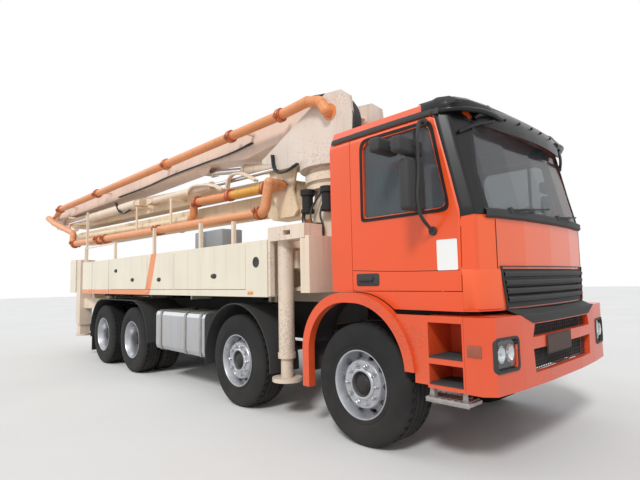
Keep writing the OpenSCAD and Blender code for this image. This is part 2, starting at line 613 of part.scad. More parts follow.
// Front outriggers: telescopic beams one above the other, each with a leg and an end frame
fo_x = -1130;
beam_w = 210; beam_h = 190;
beam_z = [1600, 1385];
leg_y = 1110;
fleg_r = 86;
module front_arm(k) {
    z0 = beam_z[k];
    difference() {
        box(fo_x - beam_w / 2, fo_x + beam_w / 2, -leg_y + fleg_r - 6, 930, z0, z0 + beam_h);
        box(fo_x - beam_w / 2 + 12, fo_x + beam_w / 2 - 12, -leg_y + fleg_r + 30, 931, z0 + 12, z0 + beam_h - 12);
    }
    difference() {
        union() {
            cyl_z(fo_x, -leg_y, fleg_r, 660, 1905);
            cyl_z(fo_x, -leg_y, fleg_r + 10, 640, 700);
        }
        cyl_z(fo_x, -leg_y, 66 + fit, 639, 1600);
    }
    // end frame: corner post, top block with an oval hole
    box(-1262, -1225, -half, -1190, 1300, 1900);
    difference() {
        box(-1262, -660, -half, -1000, 1895, 2045);
        box(-1000, -880, -half - 1, -999, 1945, 1995);
    }
}
module front_leg() {
    cyl_z(fo_x, -leg_y, 66, 440, 1590);
    cyl_z(fo_x, -leg_y, 160, 400, 440);
}
module outrigger_arm_fr() color([0.86, 0.82, 0.72]) veh() front_arm(0);
module outrigger_arm_fl() color([0.86, 0.82, 0.72]) veh() mirror([0, 1, 0]) front_arm(1);
module outrigger_leg_fr() color([0.8, 0.78, 0.7]) veh() front_leg();
module outrigger_leg_fl() color([0.8, 0.78, 0.7]) veh() mirror([0, 1, 0]) front_leg();

// Rear outriggers: short arms that swing out, each with a square leg
rleg = [-7880, -1125];
module rear_arm() {
    d = [rleg[0] - rear_pivot[0], rleg[1] - rear_pivot[1]];
    difference() {
        union() {
            translate([rear_pivot[0], rear_pivot[1], 980]) rotate([0, 0, atan2(d[1], d[0])]) translate([0, -75, 0]) cube([norm(d) - 60, 150, 200]);
            cyl_z(rear_pivot[0], rear_pivot[1], 75, 925 + fit, 1235 - fit);
        }
        box(rleg[0] - 115, rleg[0] + 115, rleg[1] - 115, rleg[1] + 115, 900, 1300);
    }
    difference() {
        box(rleg[0] - 120, rleg[0] + 120, rleg[1] - 120, rleg[1] + 120, 640, 1990);
        box(rleg[0] - 95 - fit, rleg[0] + 95 + fit, rleg[1] - 95 - fit, rleg[1] + 95 + fit, 639, 1960);
    }
}
module rear_leg() {
    box(rleg[0] - 95, rleg[0] + 95, rleg[1] - 95, rleg[1] + 95, 450, 1900);
    cyl_z(rleg[0], rleg[1], 150, 410, 450);
}
module outrigger_arm_rr() color([0.86, 0.82, 0.72]) veh() rear_arm();
module outrigger_arm_rl() color([0.86, 0.82, 0.72]) veh() mirror([0, 1, 0]) rear_arm();
module outrigger_leg_rr() color([0.8, 0.78, 0.7]) veh() rear_leg();
module outrigger_leg_rl() color([0.8, 0.78, 0.7]) veh() mirror([0, 1, 0]) rear_leg();

// Pedestal: sleeve for the front beams, side walls, front wall and the column under the slewing ring
module pedestal() color([0.86, 0.82, 0.72]) veh() {
    c = gap;
    x_out = [fo_x - beam_w / 2 - 36, fo_x + beam_w / 2 + 36];
    x_in = [fo_x - beam_w / 2 - c, fo_x + beam_w / 2 + c];
    // sleeve of the front beams: two walls with three plates between them
    box(x_out[0], x_in[0], -970, 970, 1350, 1825);
    box(x_in[1], x_out[1], -970, 970, 1350, 1825);
    floors = [[1350, beam_z[1] - fit], [beam_z[1] + beam_h + c, beam_z[0] - fit], [beam_z[0] + beam_h + c, 1825]];
    for (f = floors) box(x_in[0] + fit, x_in[1] - fit, -970, 970, f[0], f[1]);
    both() {
        box(-1850, -1800 - fit, -710, -345, deck_base, 1825);
        box(-1800, x_out[0] - fit, -425, -345, deck_base, 1825);
        box(x_out[0], x_out[1], -425, -345, deck_base, 1350 - fit);
        box(x_out[1] + fit, -650 - fit, -425, -345, deck_base, 1825);
        // front wall with its outer post
        box(-650, -590, -half, -430, 1340, 1915);
        box(-725, -650 - fit, -half, -half + 50, 1340, 1890);
        box(-650, -590, -430 + fit, -345, deck_base, 1825);
    }
    box(-1850, -800, -720, 720, 1825 + fit, 1885);
    // column, ring gear and hydraulic blocks
    translate([-turret_x, 0, 1885 + fit]) cylinder(h = 715 - fit, r1 = 400, r2 = 330);
    cyl_z(-turret_x, 0, 430, 2600, 2660);
    cyl_z(-turret_x, 0, 450, 2700, 2800, 60);
    cyl_z(-turret_x, 0, 400, 2660, 2870);
}

// Turret: slewing head with two side plates that carry the foot of arm 1
plate = [[-780, 2975], [470, 2975], [500, 3420], [470, 3680], [330, 3790], [80, 3810], [-250, 3650], [-900, 3300], [-1150, 3170], [-1130, 3120], [-860, 3060]];
module turret() color([0.9, 0.87, 0.8]) boom() {
    cyl_z(0, 0, 520, 2870 + fit, 2976);
    both() difference() {
        side(plate, -345, -305);
        cyl_y(foot[0], foot[1], 105 + fit, -346, -304, 96);
    }
    // cross plate and cylinder lugs between the side plates
    box(380, 430, -305, 305, 2976, 3200);
    for (s = [-1, 1]) side([[-640, 2976], [-380, 2976], [-420, 3100], [-600, 3100]], s * 110 - 15, s * 110 + 15);
}

// Arms

module clamp_at(lane, p, q, t) {
    // coupling ring on the pipe p-q at fraction t
    d = [q[0] - p[0], q[1] - p[1]];
    c = [p[0] + d[0] * t, p[1] + d[1] * t];
    u = d / norm(d) * 35;
    bar([c[0] - u[0], lane, c[1] - u[1]], [c[0] + u[0], lane, c[1] + u[1]], clamp_d / 2);
}
module joint_ball(p, lane) translate([p[0], lane, p[1]]) sphere(r = pipe_r + 3, $fn = 32);

top_a = [-661, 3694.5];
top_b = [-8600, 3333];
lane_a1 = -284;
lane_a2 = -440;
// where the two halves of the rear swivel meet
swivel_a = -366;
eye_a = knuckle_a + [200, -250];
module arm_1() color([0.88, 0.82, 0.72]) boom() {
    // box from the foot to the rear knuckle, deeper by the turret
    side([[150, 3440], [300, 3550], [150, 3680], [-120, 3800], [-700, 3830], [-4500, 3630], [-8600, 3440], [-9000, 3400],
          [-9000, 3230], [-8650, 3170], [-5000, 3310], [-3060, 3412], [-2600, 3412], [-1700, 3330], [-1180, 3400], [-400, 3480]], -190, 190);
    // foot boss through the side plates' holes, continued to the pipe's elbow
    cyl_y(foot[0], foot[1], 105, -360, 305 - fit, 96);
    cyl_y(foot[0], foot[1], pipe_r, lane_top, -360);
    // rear knuckle plates with the pin's bores and the eye's pin
    difference() {
        for (s = [-1, 1]) side([[-8700, 3210], [-8950, 3370], [-9200, 3320], [-boom_rear + 20, 3250], [-boom_rear, 3200], [-boom_rear, 3130],
                            [-9330, 2960], [-9200, 2870], [-9080, 2900], [-9020, 3120]], s * 180 - 20, s * 180 + 20);
        cyl_y(knuckle_a[0], knuckle_a[1], 45 + fit, -201, 201, 96);
    }
    cyl_y(eye_a[0], eye_a[1], 22, -226, -190);
    // top pipe with its couplings, elbow at the foot and swivel at the rear knuckle
    foot_run = [[top_a[0], lane_top, top_a[1]], [-160, lane_top, 3745], [60, lane_top, 3690], [foot[0], lane_top, foot[1]]];
    pipe_run(foot_run, pipe_r, bend_r);
    for (t = [0.004, 0.27, 0.63, 0.863, 1]) clamp_at(lane_top, top_b, top_a, t);
    joint_ball(foot, lane_top);
    rear_run = [[top_a[0], lane_top, top_a[1]], [top_b[0], lane_top, top_b[1]], [knuckle_a[0], lane_a1, knuckle_a[1]]];
    pipe_run(rear_run, pipe_r, bend_r);
    joint_ball(knuckle_a, lane_a1);
    cyl_y(knuckle_a[0], knuckle_a[1], pipe_r - 8, swivel_a, -190, 96);
    // pipe brackets
    for (x = [-1500, -3900, -6300, -8200]) box(x - 20, x + 20, lane_top, -185, 3655 + (x + 1500) * 0.0455 - 15, 3655 + (x + 1500) * 0.0455 + 15);
    // lugs for the lift cylinder under the box
    for (s = [-1, 1]) side([[-3090, 3425], [-2710, 3425], [-2810, 3295], [-2990, 3295]], s * 110 - 15, s * 110 + 15);
}

pb_a = [-4900, 3040];
pb_b = [-4350, 3010];
eye_b = knuckle_b + [180, 250];
// how far the ears round a knuckle barrel's eye reach towards its tube
ear_r = 60;
module cylinder_bracket(p, dir, y0, y1) {
    // two ears round a barrel's end, joined to the arm behind it
    for (y = [y0, y1 - 20]) side([[p[0] - dir * ear_r, p[1] - 35], [p[0] - dir * ear_r, p[1] + 35], [p[0] + dir * 130, p[1] + 60], [p[0] + dir * 130, p[1] - 60]], y, y + 20);
    box(min(p[0] + dir * 75, p[0] + dir * 130), max(p[0] + dir * 75, p[0] + dir * 130), y0, -145, p[1] - 60, p[1] + 60);
}
module arm_2() color([0.9, 0.85, 0.7]) boom() {
    side([[-9440, 3200], [-9400, 3260], [-9300, 3270], [-9060, 3190], [-8900, 3130], [-8650, 3120], [-5000, 3170], [-2900, 3090], [-2400, 2960], [-1300, 2940],
          [-1300, 2830], [-3000, 2830], [-8300, 2840], [-9000, 2960], [-9420, 3100]], -150, 150);
    // rear knuckle's pin
    cyl_y(knuckle_a[0], knuckle_a[1], 45, -184, 208, 96);
    // fork at the front knuckle
    difference() {
        for (s = [-1, 1]) side([[-1500, 2830], [-1500, 2935], [-1000, 2930], [-800, 2890], [-710, 2840], [-690, 2780], [-720, 2700], [-800, 2670], [-900, 2690], [-1200, 2830]],
                           s * 163 - 15, s * 163 + 15);
        cyl_y(knuckle_b[0], knuckle_b[1], 45 + fit, -180, 180, 96);
    }
    // swivel at the rear knuckle and the run down to the long lower pipe
    cyl_y(knuckle_a[0], knuckle_a[1], pipe_r - 8, lane_a2, swivel_a - fit, 96);
    run = [[knuckle_a[0], lane_a2, knuckle_a[1]], [-8900, -450, 3010], [-7560, -490, 2650], [-7560, -510, 2400], [-900, lane_low, 2385], [knuckle_b[0], lane_low, knuckle_b[1]]];
    pipe_run(run, pipe_r, bend_r);
    for (i = [0, 5]) translate(run[i]) sphere(r = pipe_r + bend_wall, $fn = 32);
    for (x = [-7380, -6100, -5800, -3700, -1000]) cyl_x(lane_low, 2389, clamp_d / 2, x - 30, x + 30);
    cyl_y(knuckle_b[0], knuckle_b[1], pipe_r, lane_low, -405);
    // hangers that carry the lower pipe
    for (h = [[-7900, 2880, 2700], [-4620, 2900, 2385], [-3400, 2900, 2385]]) {
        box(h[0] - 25, h[0] + 25, -440, -145, h[1] - 20, h[1] + 20);
        box(h[0] - 25, h[0] + 25, -460, -440, h[2], h[1] + 20);
        box(h[0] - 25, h[0] + 25, lane_low, -440, h[2], h[2] + 30);
    }
    cylinder_bracket(pb_a, 1, -330, -200);
    cylinder_bracket(pb_b, -1, -330, -200);
}

module arm_3() color([0.9, 0.85, 0.7]) boom() {
    difference() {
        side([[-860, 2870], [-720, 2860], [-640, 2780], [-600, 2480], [-500, 2400], [-500, 2330], [-1140, 2330], [-1300, 2420], [-8050, 2420], [-8330, 2480], [-8400, 2590],
              [-8330, 2700], [-8050, 2720], [-1300, 2720], [-1040, 2790]], -140, 140);
    }
    // outer plate with the lever of the knuckle cylinder
    side([[-1130, 3060], [-1040, 3110], [-620, 3090], [-560, 3020], [-600, 2900], [-650, 2700], [-560, 2420], [-640, 2335], [-900, 2335], [-1060, 2660]], -225, -190);
    cyl_y(knuckle_b[0], knuckle_b[1], 45, -190, 190, 96);
    cyl_y(-740, 2400, 40, -190, -135);
    cyl_y(eye_b[0], eye_b[1], 20, -227, -200);
    // swivel, upper pipe, drop and the pipe along the arm to the rear knuckle
    cyl_y(knuckle_b[0], knuckle_b[1], pipe_r, -395, lane_mid);
    run = [[knuckle_b[0], lane_mid, knuckle_b[1]], [-2960, lane_mid, 2805], [-3010, -250, 2540], [knuckle_c[0], -225, knuckle_c[1]]];
    pipe_run(run, pipe_r - 3, bend_r);
    for (i = [0, 3]) translate(run[i]) sphere(r = pipe_r + bend_wall, $fn = 32);
    for (x = [-1150, -1960, -2850]) cyl_x(lane_mid, knuckle_b[1] + (x - knuckle_b[0]) * -0.0116, clamp_d / 2, x - 30, x + 30);
    cyl_y(knuckle_c[0], knuckle_c[1], pipe_r - 10, -225, 478, 96);
}

end_r = pipe_r - 8;
end_z = 2300;
end_len = 120;
module arm_4() color([0.9, 0.85, 0.7]) boom() {
    difference() {
        side([[-8390, 2530], [-8390, 2650], [-8330, 2710], [-8150, 2730], [-1500, 2670], [tip_x, 2620], [tip_x, 2520], [-1500, 2510], [-8150, 2455], [-8330, 2470]], 262, 470);
        cyl_y(knuckle_c[0], knuckle_c[1], pipe_r - 10 + fit, 261, 471, 96);
    }
    run = [[knuckle_c[0], 560, knuckle_c[1]], [tip_x + 40, 560, 2580], [tip_x + 40, 560, end_z]];
    pipe_run(run, end_r, bend_r);
    translate(run[0]) sphere(r = end_r + bend_wall, $fn = 32);
    // plain pipe end for the hose, with a bead above it
    cyl_z(run[1][0], 560, end_r + 6, end_z + end_len, end_z + end_len + 14);
    for (x = [-7900, -4700, -1600]) cyl_x(560, 2585, clamp_d / 2 - 8, x - 30, x + 30);
    for (x = [-7700, -4500, -1800]) box(x - 20, x + 20, 465, 560, 2570, 2600);
}

// Cylinders, each a barrel with a sliding rod that ends at an open eye

lift_foot = [-510, 3050]; lift_eye = [-2900, 3345];
// barrel with an eye at a on a neck, closed tube from start towards b
module barrel(a, b, lane, r, ri, rr, start, len, w) {
    d = b - a; L = norm(d);
    translate([a[0], lane, a[1]]) rotate([0, atan2(d[0], d[1]), 0]) {
        rotate([90, 0, 0]) translate([0, 0, -w / 2]) cylinder(h = w, r = r * 0.58, $fn = 32);
        translate([-r * 0.45, -w / 2, 0]) cube([r * 0.9, w, start + 4]);
        difference() {
            translate([0, 0, start]) cylinder(h = len - start, r = r);
            translate([0, 0, start + r * 0.7]) cylinder(h = len - 60 - start - r * 0.7, r = ri);
            translate([0, 0, start + r * 0.7]) cylinder(h = len, r = rr + fit, $fn = 32);
        }
        difference() {
            translate([0, 0, len - 70]) cylinder(h = 70, r = r + 12);
            translate([0, 0, len - 71]) cylinder(h = 72, r = rr + fit, $fn = 32);
        }
    }
}
module rod(a, b, lane, r, start, w) {
    d = b - a; L = norm(d);
    translate([a[0], lane, a[1]]) rotate([0, atan2(d[0], d[1]), 0]) {
        translate([0, 0, start]) cylinder(h = L - start, r = r, $fn = 32);
        translate([0, 0, L]) rotate([90, 0, 0]) translate([0, 0, -w / 2]) cylinder(h = w, r = r * 1.15, $fn = 32);
    }
}
module lift_barrel() color([0.85, 0.82, 0.75]) boom() barrel(lift_foot, lift_eye, 0, 85, 60, 50, 34, 1450, 190 - 2 * fit);
module lift_rod() color([0.75, 0.76, 0.78]) boom() rod(lift_foot, lift_eye, 0, 50, 160, 150);
module knuckle_barrel_a() color([0.85, 0.82, 0.75]) boom() barrel(pb_a, eye_a, -265, 92, 60, 38, ear_r + gap, 2300, 90 - 2 * fit);
module knuckle_rod_a() color([0.75, 0.76, 0.78]) boom() rod(pb_a, eye_a, -265, 38, 1300, 66);
module knuckle_barrel_b() color([0.85, 0.82, 0.75]) boom() barrel(pb_b, eye_b, -265, 60, 42, 32, ear_r + gap, 1900, 90 - 2 * fit);
module knuckle_rod_b() color([0.75, 0.76, 0.78]) boom() rod(pb_b, eye_b, -265, 32, 600, 66);

// Pump: hopper with a hinged grate and an agitator, delivery cylinders and oil tank

hop = [-9190, -8200];
hop_z = [760, 1440];
hop_w = 820;
module hopper_solid(d) intersection() {
    side([[hop[1] - d, hop_z[1] + (d > 0 ? 1 : 0)], [hop[0] + d, hop_z[1] + (d > 0 ? 1 : 0)], [hop[0] + 40 + d, 1250], [hop[0] + 380 + d, hop_z[0] + d], [hop[1] - 200 - d, hop_z[0] + d], [hop[1] - d, 980]], -hop_w + d, hop_w - d);
    from_front([[-hop_w + d, 1500], [-hop_w + d, 1200], [-420 + d, hop_z[0] + d], [420 - d, hop_z[0] + d], [hop_w - d, 1200], [hop_w - d, 1500]], -9400, -8000);
}
ag = [-8700, 1030];
module hopper() color([0.86, 0.82, 0.72]) veh() {
    difference() {
        hopper_solid(0);
        hopper_solid(12);
        cyl_y(ag[0], ag[1], 40 + fit, -900, 900);
    }
    both() box(hop[1] - 1, -frame_rear - fit, 345, 425, 1021, 1200);
    both() box(hop[1] - 12, hop[1], 345, 425, 985, 1200);
}
module hopper_grate() color([0.8, 0.3, 0.1]) veh() {
    grate_y = hop_w - 5;
    pitch = (2 * grate_y - 46) / 12;
    for (k = [0:12]) box(hop[0] + 6, hop[1] - 60, -grate_y + 18 + k * pitch, -grate_y + 28 + k * pitch, hop_z[1] + 12, hop_z[1] + 52);
    for (x = [hop[0] + 6, -8880, -8570, hop[1] - 80]) box(x, x + 20, -grate_y, grate_y, hop_z[1] + fit, hop_z[1] + 30);
    cyl_y(hop[1] - 60, hop_z[1] + 32, 16, -grate_y, grate_y, 24);
}
module agitator() color([0.3, 0.3, 0.31]) veh() {
    cyl_y(ag[0], ag[1], 40, -hop_w - 30, hop_w + 30);
    for (k = [0:3]) translate([ag[0], -420 + k * 280, ag[1]]) rotate([0, k * 90, 0]) translate([-20, -30, 0]) cube([40, 60, 175]);
}
module pump_unit() color([0.35, 0.36, 0.37]) veh() {
    // delivery cylinders between the subframe's rails, oil tank ahead of them
    both() cyl_x(170, 1330, 125, -7700 + fit, -5330 - fit);
    both() cyl_x(170, 1330, 70, -5270 + fit, -3900 - fit);
    box(-5330, -5270, -400, 400, deck_base, 1460);
    box(-7800, -7700, -400, 400, deck_base, 1470);
    box(-3900, -2500, -400, 400, deck_base, 1750);
    cyl_x(0, 1300, 90, -8150, -7800 - fit);
}

chassis_frame();
engine();
axles();
knuckle_r1();
knuckle_l1();
knuckle_r2();
knuckle_l2();
wheel_r1();
wheel_l1();
wheel_r2();
wheel_l2();
wheel_r3();
wheel_l3();
wheel_r4();
wheel_l4();
cab_shell();
cab_front();
grille();
windscreen();
door_right();
door_left();
door_glass_right();
door_glass_left();
cab_interior();
sun_visor();
mirror_right();
mirror_left();
bumper();
fenders();
side_tanks();
mudguards();
body();
flap_1();
flap_2();
flap_3();
railings();
outrigger_arm_fr();
outrigger_arm_fl();
outrigger_arm_rr();
outrigger_arm_rl();
outrigger_leg_fr();
outrigger_leg_fl();
outrigger_leg_rr();
outrigger_leg_rl();
pedestal();
turret();
arm_1();
arm_2();
arm_3();
arm_4();
lift_barrel();
lift_rod();
knuckle_barrel_a();
knuckle_rod_a();
knuckle_barrel_b();
knuckle_rod_b();
hopper();
hopper_grate();
agitator();
pump_unit();
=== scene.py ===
"""Looks of a truck-mounted concrete pump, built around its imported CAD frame.

Lengths are metres in the shared frame. Places on the truck are counted from the first axle and
places on the folded boom from its slewing axis; on_truck and on_boom move both to that frame.
"""

from __future__ import annotations

import logging
import math
import sys
from collections.abc import Callable, Iterator, Sequence
from contextlib import contextmanager
from dataclasses import dataclass, replace
from enum import Enum

import bpy
from mathutils import Matrix, Vector


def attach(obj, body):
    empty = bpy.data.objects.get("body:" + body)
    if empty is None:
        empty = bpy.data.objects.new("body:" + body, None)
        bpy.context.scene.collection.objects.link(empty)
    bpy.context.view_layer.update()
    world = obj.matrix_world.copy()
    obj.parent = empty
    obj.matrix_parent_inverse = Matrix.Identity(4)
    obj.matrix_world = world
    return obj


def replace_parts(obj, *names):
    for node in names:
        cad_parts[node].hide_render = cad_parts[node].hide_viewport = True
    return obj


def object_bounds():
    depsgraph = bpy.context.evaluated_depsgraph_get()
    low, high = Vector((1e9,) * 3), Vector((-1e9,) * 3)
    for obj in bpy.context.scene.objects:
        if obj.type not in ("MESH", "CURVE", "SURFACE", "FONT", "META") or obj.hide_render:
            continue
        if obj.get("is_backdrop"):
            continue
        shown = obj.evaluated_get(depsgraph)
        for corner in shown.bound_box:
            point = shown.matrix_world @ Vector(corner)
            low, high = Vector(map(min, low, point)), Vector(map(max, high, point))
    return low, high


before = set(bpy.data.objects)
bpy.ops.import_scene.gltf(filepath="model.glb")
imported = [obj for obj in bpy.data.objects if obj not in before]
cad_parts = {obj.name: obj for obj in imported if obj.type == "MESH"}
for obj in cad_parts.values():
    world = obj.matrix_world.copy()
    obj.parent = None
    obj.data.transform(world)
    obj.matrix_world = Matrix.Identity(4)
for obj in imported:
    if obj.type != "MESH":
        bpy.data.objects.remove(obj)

Flat = tuple[float, float]
Point = tuple[float, float, float]
Rgb = tuple[float, float, float]

log = logging.getLogger("pump_truck")

FRONT_AXLE = 4.737784
SLEW_AXIS = FRONT_AXLE - 1.350
BOOM_YAW = math.radians(4.6)
CAB_SIDE = 1.150
BODY_SIDE = 1.250
SILL = 1.975
RAKE = math.tan(math.radians(13.0))
NOSE_PLAN: tuple[Flat, ...] = ((0.0, 1.240), (0.5, 1.225), (0.9, 1.180), (1.09, 1.100), (1.15, 1.0))
BUMPER_PLAN: tuple[Flat, ...] = ((0.0, 1.320), (0.35, 1.320), (0.80, 1.298), (1.16, 1.262), (1.225, 1.180))


class Plane(Enum):
    """Which way a flat outline faces; the thickness runs along the axis that is left."""

    SIDE = "x and z"
    FRONT = "y and z"
    PLAN = "x and y"

    def point(self, u: float, v: float, w: float) -> Vector:
        """Puts outline place (u, v) at distance w along the plane's thickness."""
        places = {Plane.SIDE: (u, w, v), Plane.FRONT: (w, u, v), Plane.PLAN: (u, v, w)}
        return Vector(places[self])


class Hand(Enum):
    """A side of the truck, with the sign of its y."""

    RIGHT = -1
    LEFT = 1


def on_truck(x: float, y: float, z: float) -> Vector:
    """Turns a place counted from the first axle into the shared frame."""
    return Vector((x + FRONT_AXLE, y, z))


def fore(*places: float) -> tuple[float, ...]:
    """Turns x places counted from the first axle into the shared frame."""
    return tuple(x + FRONT_AXLE for x in places)


def shifted(outline: Sequence[Flat]) -> list[Flat]:
    """Turns an outline of (x, z) counted from the first axle into the shared frame."""
    return [(x + FRONT_AXLE, z) for x, z in outline]


def on_boom(x: float, lane: float, z: float) -> Vector:
    """Turns a place on the folded boom into the shared frame."""
    c, s = math.cos(BOOM_YAW), math.sin(BOOM_YAW)
    return Vector((SLEW_AXIS + x * c - lane * s, x * s + lane * c, z))


def along(table: Sequence[Flat], key: float) -> float:
    """Reads a table of (key, value) pairs with straight lines between its rows.

    Args:
        table: the pairs, with rising keys.
        key: where to read.

    Returns:
        The value there, or the nearest end's.
    """
    if key <= table[0][0]:
        return table[0][1]
    for (a, p), (b, q) in zip(table, table[1:]):
        if key <= b:
            return p + (q - p) * (key - a) / (b - a)
    return table[-1][1]


def nose_x(y: float, z: float) -> float:
    """Where the cab's front surface stands at side place y and height z, from the first axle."""
    return along(NOSE_PLAN, abs(y)) - max(0.0, z - SILL) * RAKE


# The workbench


class Bench:
    """Starts, shapes and finishes one piece at a time with Blender's operators."""

    pieces: int = 0

    @staticmethod
    def clear() -> None:
        """Leaves edit mode and deselects everything."""
        if bpy.context.object is not None and bpy.context.object.mode != "OBJECT":
            bpy.ops.object.mode_set(mode="OBJECT")
        bpy.ops.object.select_all(action="DESELECT")

    @staticmethod
    def take(piece: bpy.types.Object) -> bpy.types.Object:
        """Selects one piece alone and makes it active.

        Args:
            piece: the piece.

        Returns:
            The same piece.
        """
        Bench.clear()
        piece.select_set(True)
        bpy.context.view_layer.objects.active = piece
        return piece

    @staticmethod
    @contextmanager
    def editing(piece: bpy.types.Object) -> Iterator[None]:
        """Holds a piece in edit mode, with all of it selected at the start.

        Args:
            piece: the piece to edit.

        Yields:
            Nothing, once edit mode is on.
        """
        Bench.take(piece)
        bpy.ops.object.mode_set(mode="EDIT")
        bpy.ops.mesh.select_mode(type="FACE")
        bpy.ops.mesh.select_all(action="SELECT")
        yield
        bpy.ops.object.mode_set(mode="OBJECT")

    @staticmethod
    def cleaned(piece: bpy.types.Object) -> bpy.types.Object:
        """Merges a piece's doubles and turns its faces outwards.

        Args:
            piece: the piece.

        Returns:
            The same piece.
        """
        with Bench.editing(piece):
            bpy.ops.mesh.remove_doubles(threshold=0.00005)
            bpy.ops.mesh.normals_make_consistent(inside=False)
        return piece

    @staticmethod
    def choose_faces(piece: bpy.types.Object, test: Callable[[Vector, Vector], bool]) -> None:
        """Selects, in edit mode, the faces whose centre and normal pass a test.

        Args:
            piece: the piece, in edit mode.
            test: tells from a centre and a normal whether a face is chosen.
        """
        bpy.ops.mesh.select_all(action="DESELECT")
        bpy.ops.object.mode_set(mode="OBJECT")
        for polygon in piece.data.polygons:
            polygon.select = test(polygon.center, polygon.normal)
        bpy.ops.object.mode_set(mode="EDIT")

    @staticmethod
    def modified(piece: bpy.types.Object, kind: str, **settings: object) -> bpy.types.Object:
        """Adds a modifier with its settings and applies it.

        Args:
            piece: the piece to change.
            kind: Blender's name of the modifier.
            **settings: the modifier's own settings.

        Returns:
            The same piece.
        """
        Bench.take(piece)
        modifier = piece.modifiers.new(kind.lower(), kind)
        for key, value in settings.items():
            setattr(modifier, key, value)
        bpy.ops.object.modifier_apply(modifier=modifier.name)
        return piece

    @staticmethod
    def rounded(piece: bpy.types.Object, width: float, steps: int = 2) -> bpy.types.Object:
        """Rounds a piece's sharp edges."""
        return Bench.modified(piece, "BEVEL", width=width, segments=steps, limit_method="ANGLE")

    @staticmethod
    def plate(plane: Plane, outline: Sequence[Flat], low: float, high: float,
              edge: float = 0.0) -> bpy.types.Object:
        """Makes a plate from a flat outline.

        Args:
            plane: the plane that the outline lies in.
            outline: its corners, in order.
            low: where the thickness starts.
            high: where it ends.
            edge: how far the sharp edges are rounded.

        Returns:
            The new piece.
        """
        Bench.clear()
        bpy.ops.mesh.primitive_circle_add(vertices=len(outline), fill_type="NGON")
        piece = bpy.context.object
        for vertex, (u, v) in zip(piece.data.vertices, outline):
            vertex.co = plane.point(u, v, low)
        with Bench.editing(piece):
            lift = plane.point(0.0, 0.0, high - low)
            bpy.ops.mesh.extrude_region_move(TRANSFORM_OT_translate={"value": lift})
        Bench.cleaned(piece)
        return Bench.rounded(piece, edge) if edge else piece

    @staticmethod
    def block(x: Flat, y: Flat, z: Flat, edge: float = 0.004, steps: int = 2) -> bpy.types.Object:
        """Makes a block with rounded edges between the given x, y and z.

        Args:
            x: its ends along x.
            y: its ends along y.
            z: its ends along z.
            edge: radius of its edges.
            steps: faces across one edge.

        Returns:
            The block.
        """
        Bench.clear()
        bpy.ops.mesh.primitive_cube_add(size=1.0)
        piece = bpy.context.object
        for vertex in piece.data.vertices:
            vertex.co = (x[vertex.co.x > 0], y[vertex.co.y > 0], z[vertex.co.z > 0])
        return Bench.rounded(piece, edge, steps)

    @staticmethod
    def spun(profile: Sequence[Flat], sides: int = 48) -> bpy.types.Object:
        """Spins an outline of (radius, depth) about the y axis.

        Args:
            profile: the outline's corners. One that starts on the axis is left open there.
            sides: the number of steps round the axis.

        Returns:
            The new piece, about the origin.
        """
        Bench.clear()
        bpy.ops.mesh.primitive_circle_add(vertices=len(profile), fill_type="NOTHING")
        piece = bpy.context.object
        for vertex, (radius, depth) in zip(piece.data.vertices, profile):
            vertex.co = (radius, depth, 0.0)
        if profile[0][0] == 0.0:
            with Bench.editing(piece):
                bpy.ops.mesh.select_mode(type="EDGE")
                bpy.ops.object.mode_set(mode="OBJECT")
                for edge in piece.data.edges:
                    edge.select = set(edge.vertices) == {0, len(profile) - 1}
                bpy.ops.object.mode_set(mode="EDIT")
                bpy.ops.mesh.delete(type="EDGE")
        with Bench.editing(piece):
            bpy.ops.mesh.select_mode(type="VERT")
            bpy.ops.mesh.select_all(action="SELECT")
            bpy.ops.mesh.spin(steps=sides, angle=2 * math.pi, center=(0, 0, 0), axis=(0, 1, 0))
        return Bench.cleaned(piece)

    @staticmethod
    def tube(points: Sequence[Vector], radius: float, bent: bool = True,
             sides: int = 3) -> bpy.types.Object:
        """Makes a round bar, pipe or hose along points.

        Args:
            points: the middle line's points.
            radius: half its thickness.
            bent: whether it curves through the points, or turns sharply at them.
            sides: how finely the bar is rounded.

        Returns:
            The new piece, as a mesh.
        """
        Bench.clear()
        bpy.ops.curve.primitive_bezier_curve_add()
        piece = bpy.context.object
        spline = piece.data.splines[0]
        spline.bezier_points.add(len(points) - 2)
        for knot, place in zip(spline.bezier_points, points):
            knot.co = place
            knot.handle_left_type = knot.handle_right_type = "AUTO" if bent else "VECTOR"
        piece.data.bevel_depth = radius
        piece.data.bevel_resolution = sides
        piece.data.resolution_u = 8 if bent else 1
        piece.data.use_fill_caps = True
        Bench.take(piece)
        bpy.ops.object.convert(target="MESH")
        return Bench.cleaned(bpy.context.object)

    @staticmethod
    def skin(rows: Sequence[Sequence[Vector]], thickness: float = 0.0) -> bpy.types.Object:
        """Makes a curved sheet through a grid of points.

        Args:
            rows: the points, row by row, with rows of one length.
            thickness: how thick the sheet is made, inwards and outwards alike.

        Returns:
            The new piece.
        """
        Bench.clear()
        across, down = len(rows[0]) - 1, len(rows) - 1
        bpy.ops.mesh.primitive_grid_add(x_subdivisions=across, y_subdivisions=down)
        piece = bpy.context.object
        flat = [place for row in rows for place in row]
        for vertex, place in zip(piece.data.vertices, flat):
            vertex.co = place
        Bench.cleaned(piece)
        if thickness:
            Bench.modified(piece, "SOLIDIFY", thickness=thickness, offset=0.0)
        return piece

    @staticmethod
    def cut(piece: bpy.types.Object, tool: bpy.types.Object) -> bpy.types.Object:
        """Cuts a tool's shape out of a piece and removes the tool.

        Args:
            piece: the piece.
            tool: the shape to take out.

        Returns:
            The same piece.
        """
        Bench.modified(piece, "BOOLEAN", object=tool, operation="DIFFERENCE", solver="EXACT")
        bpy.data.objects.remove(tool)
        return piece

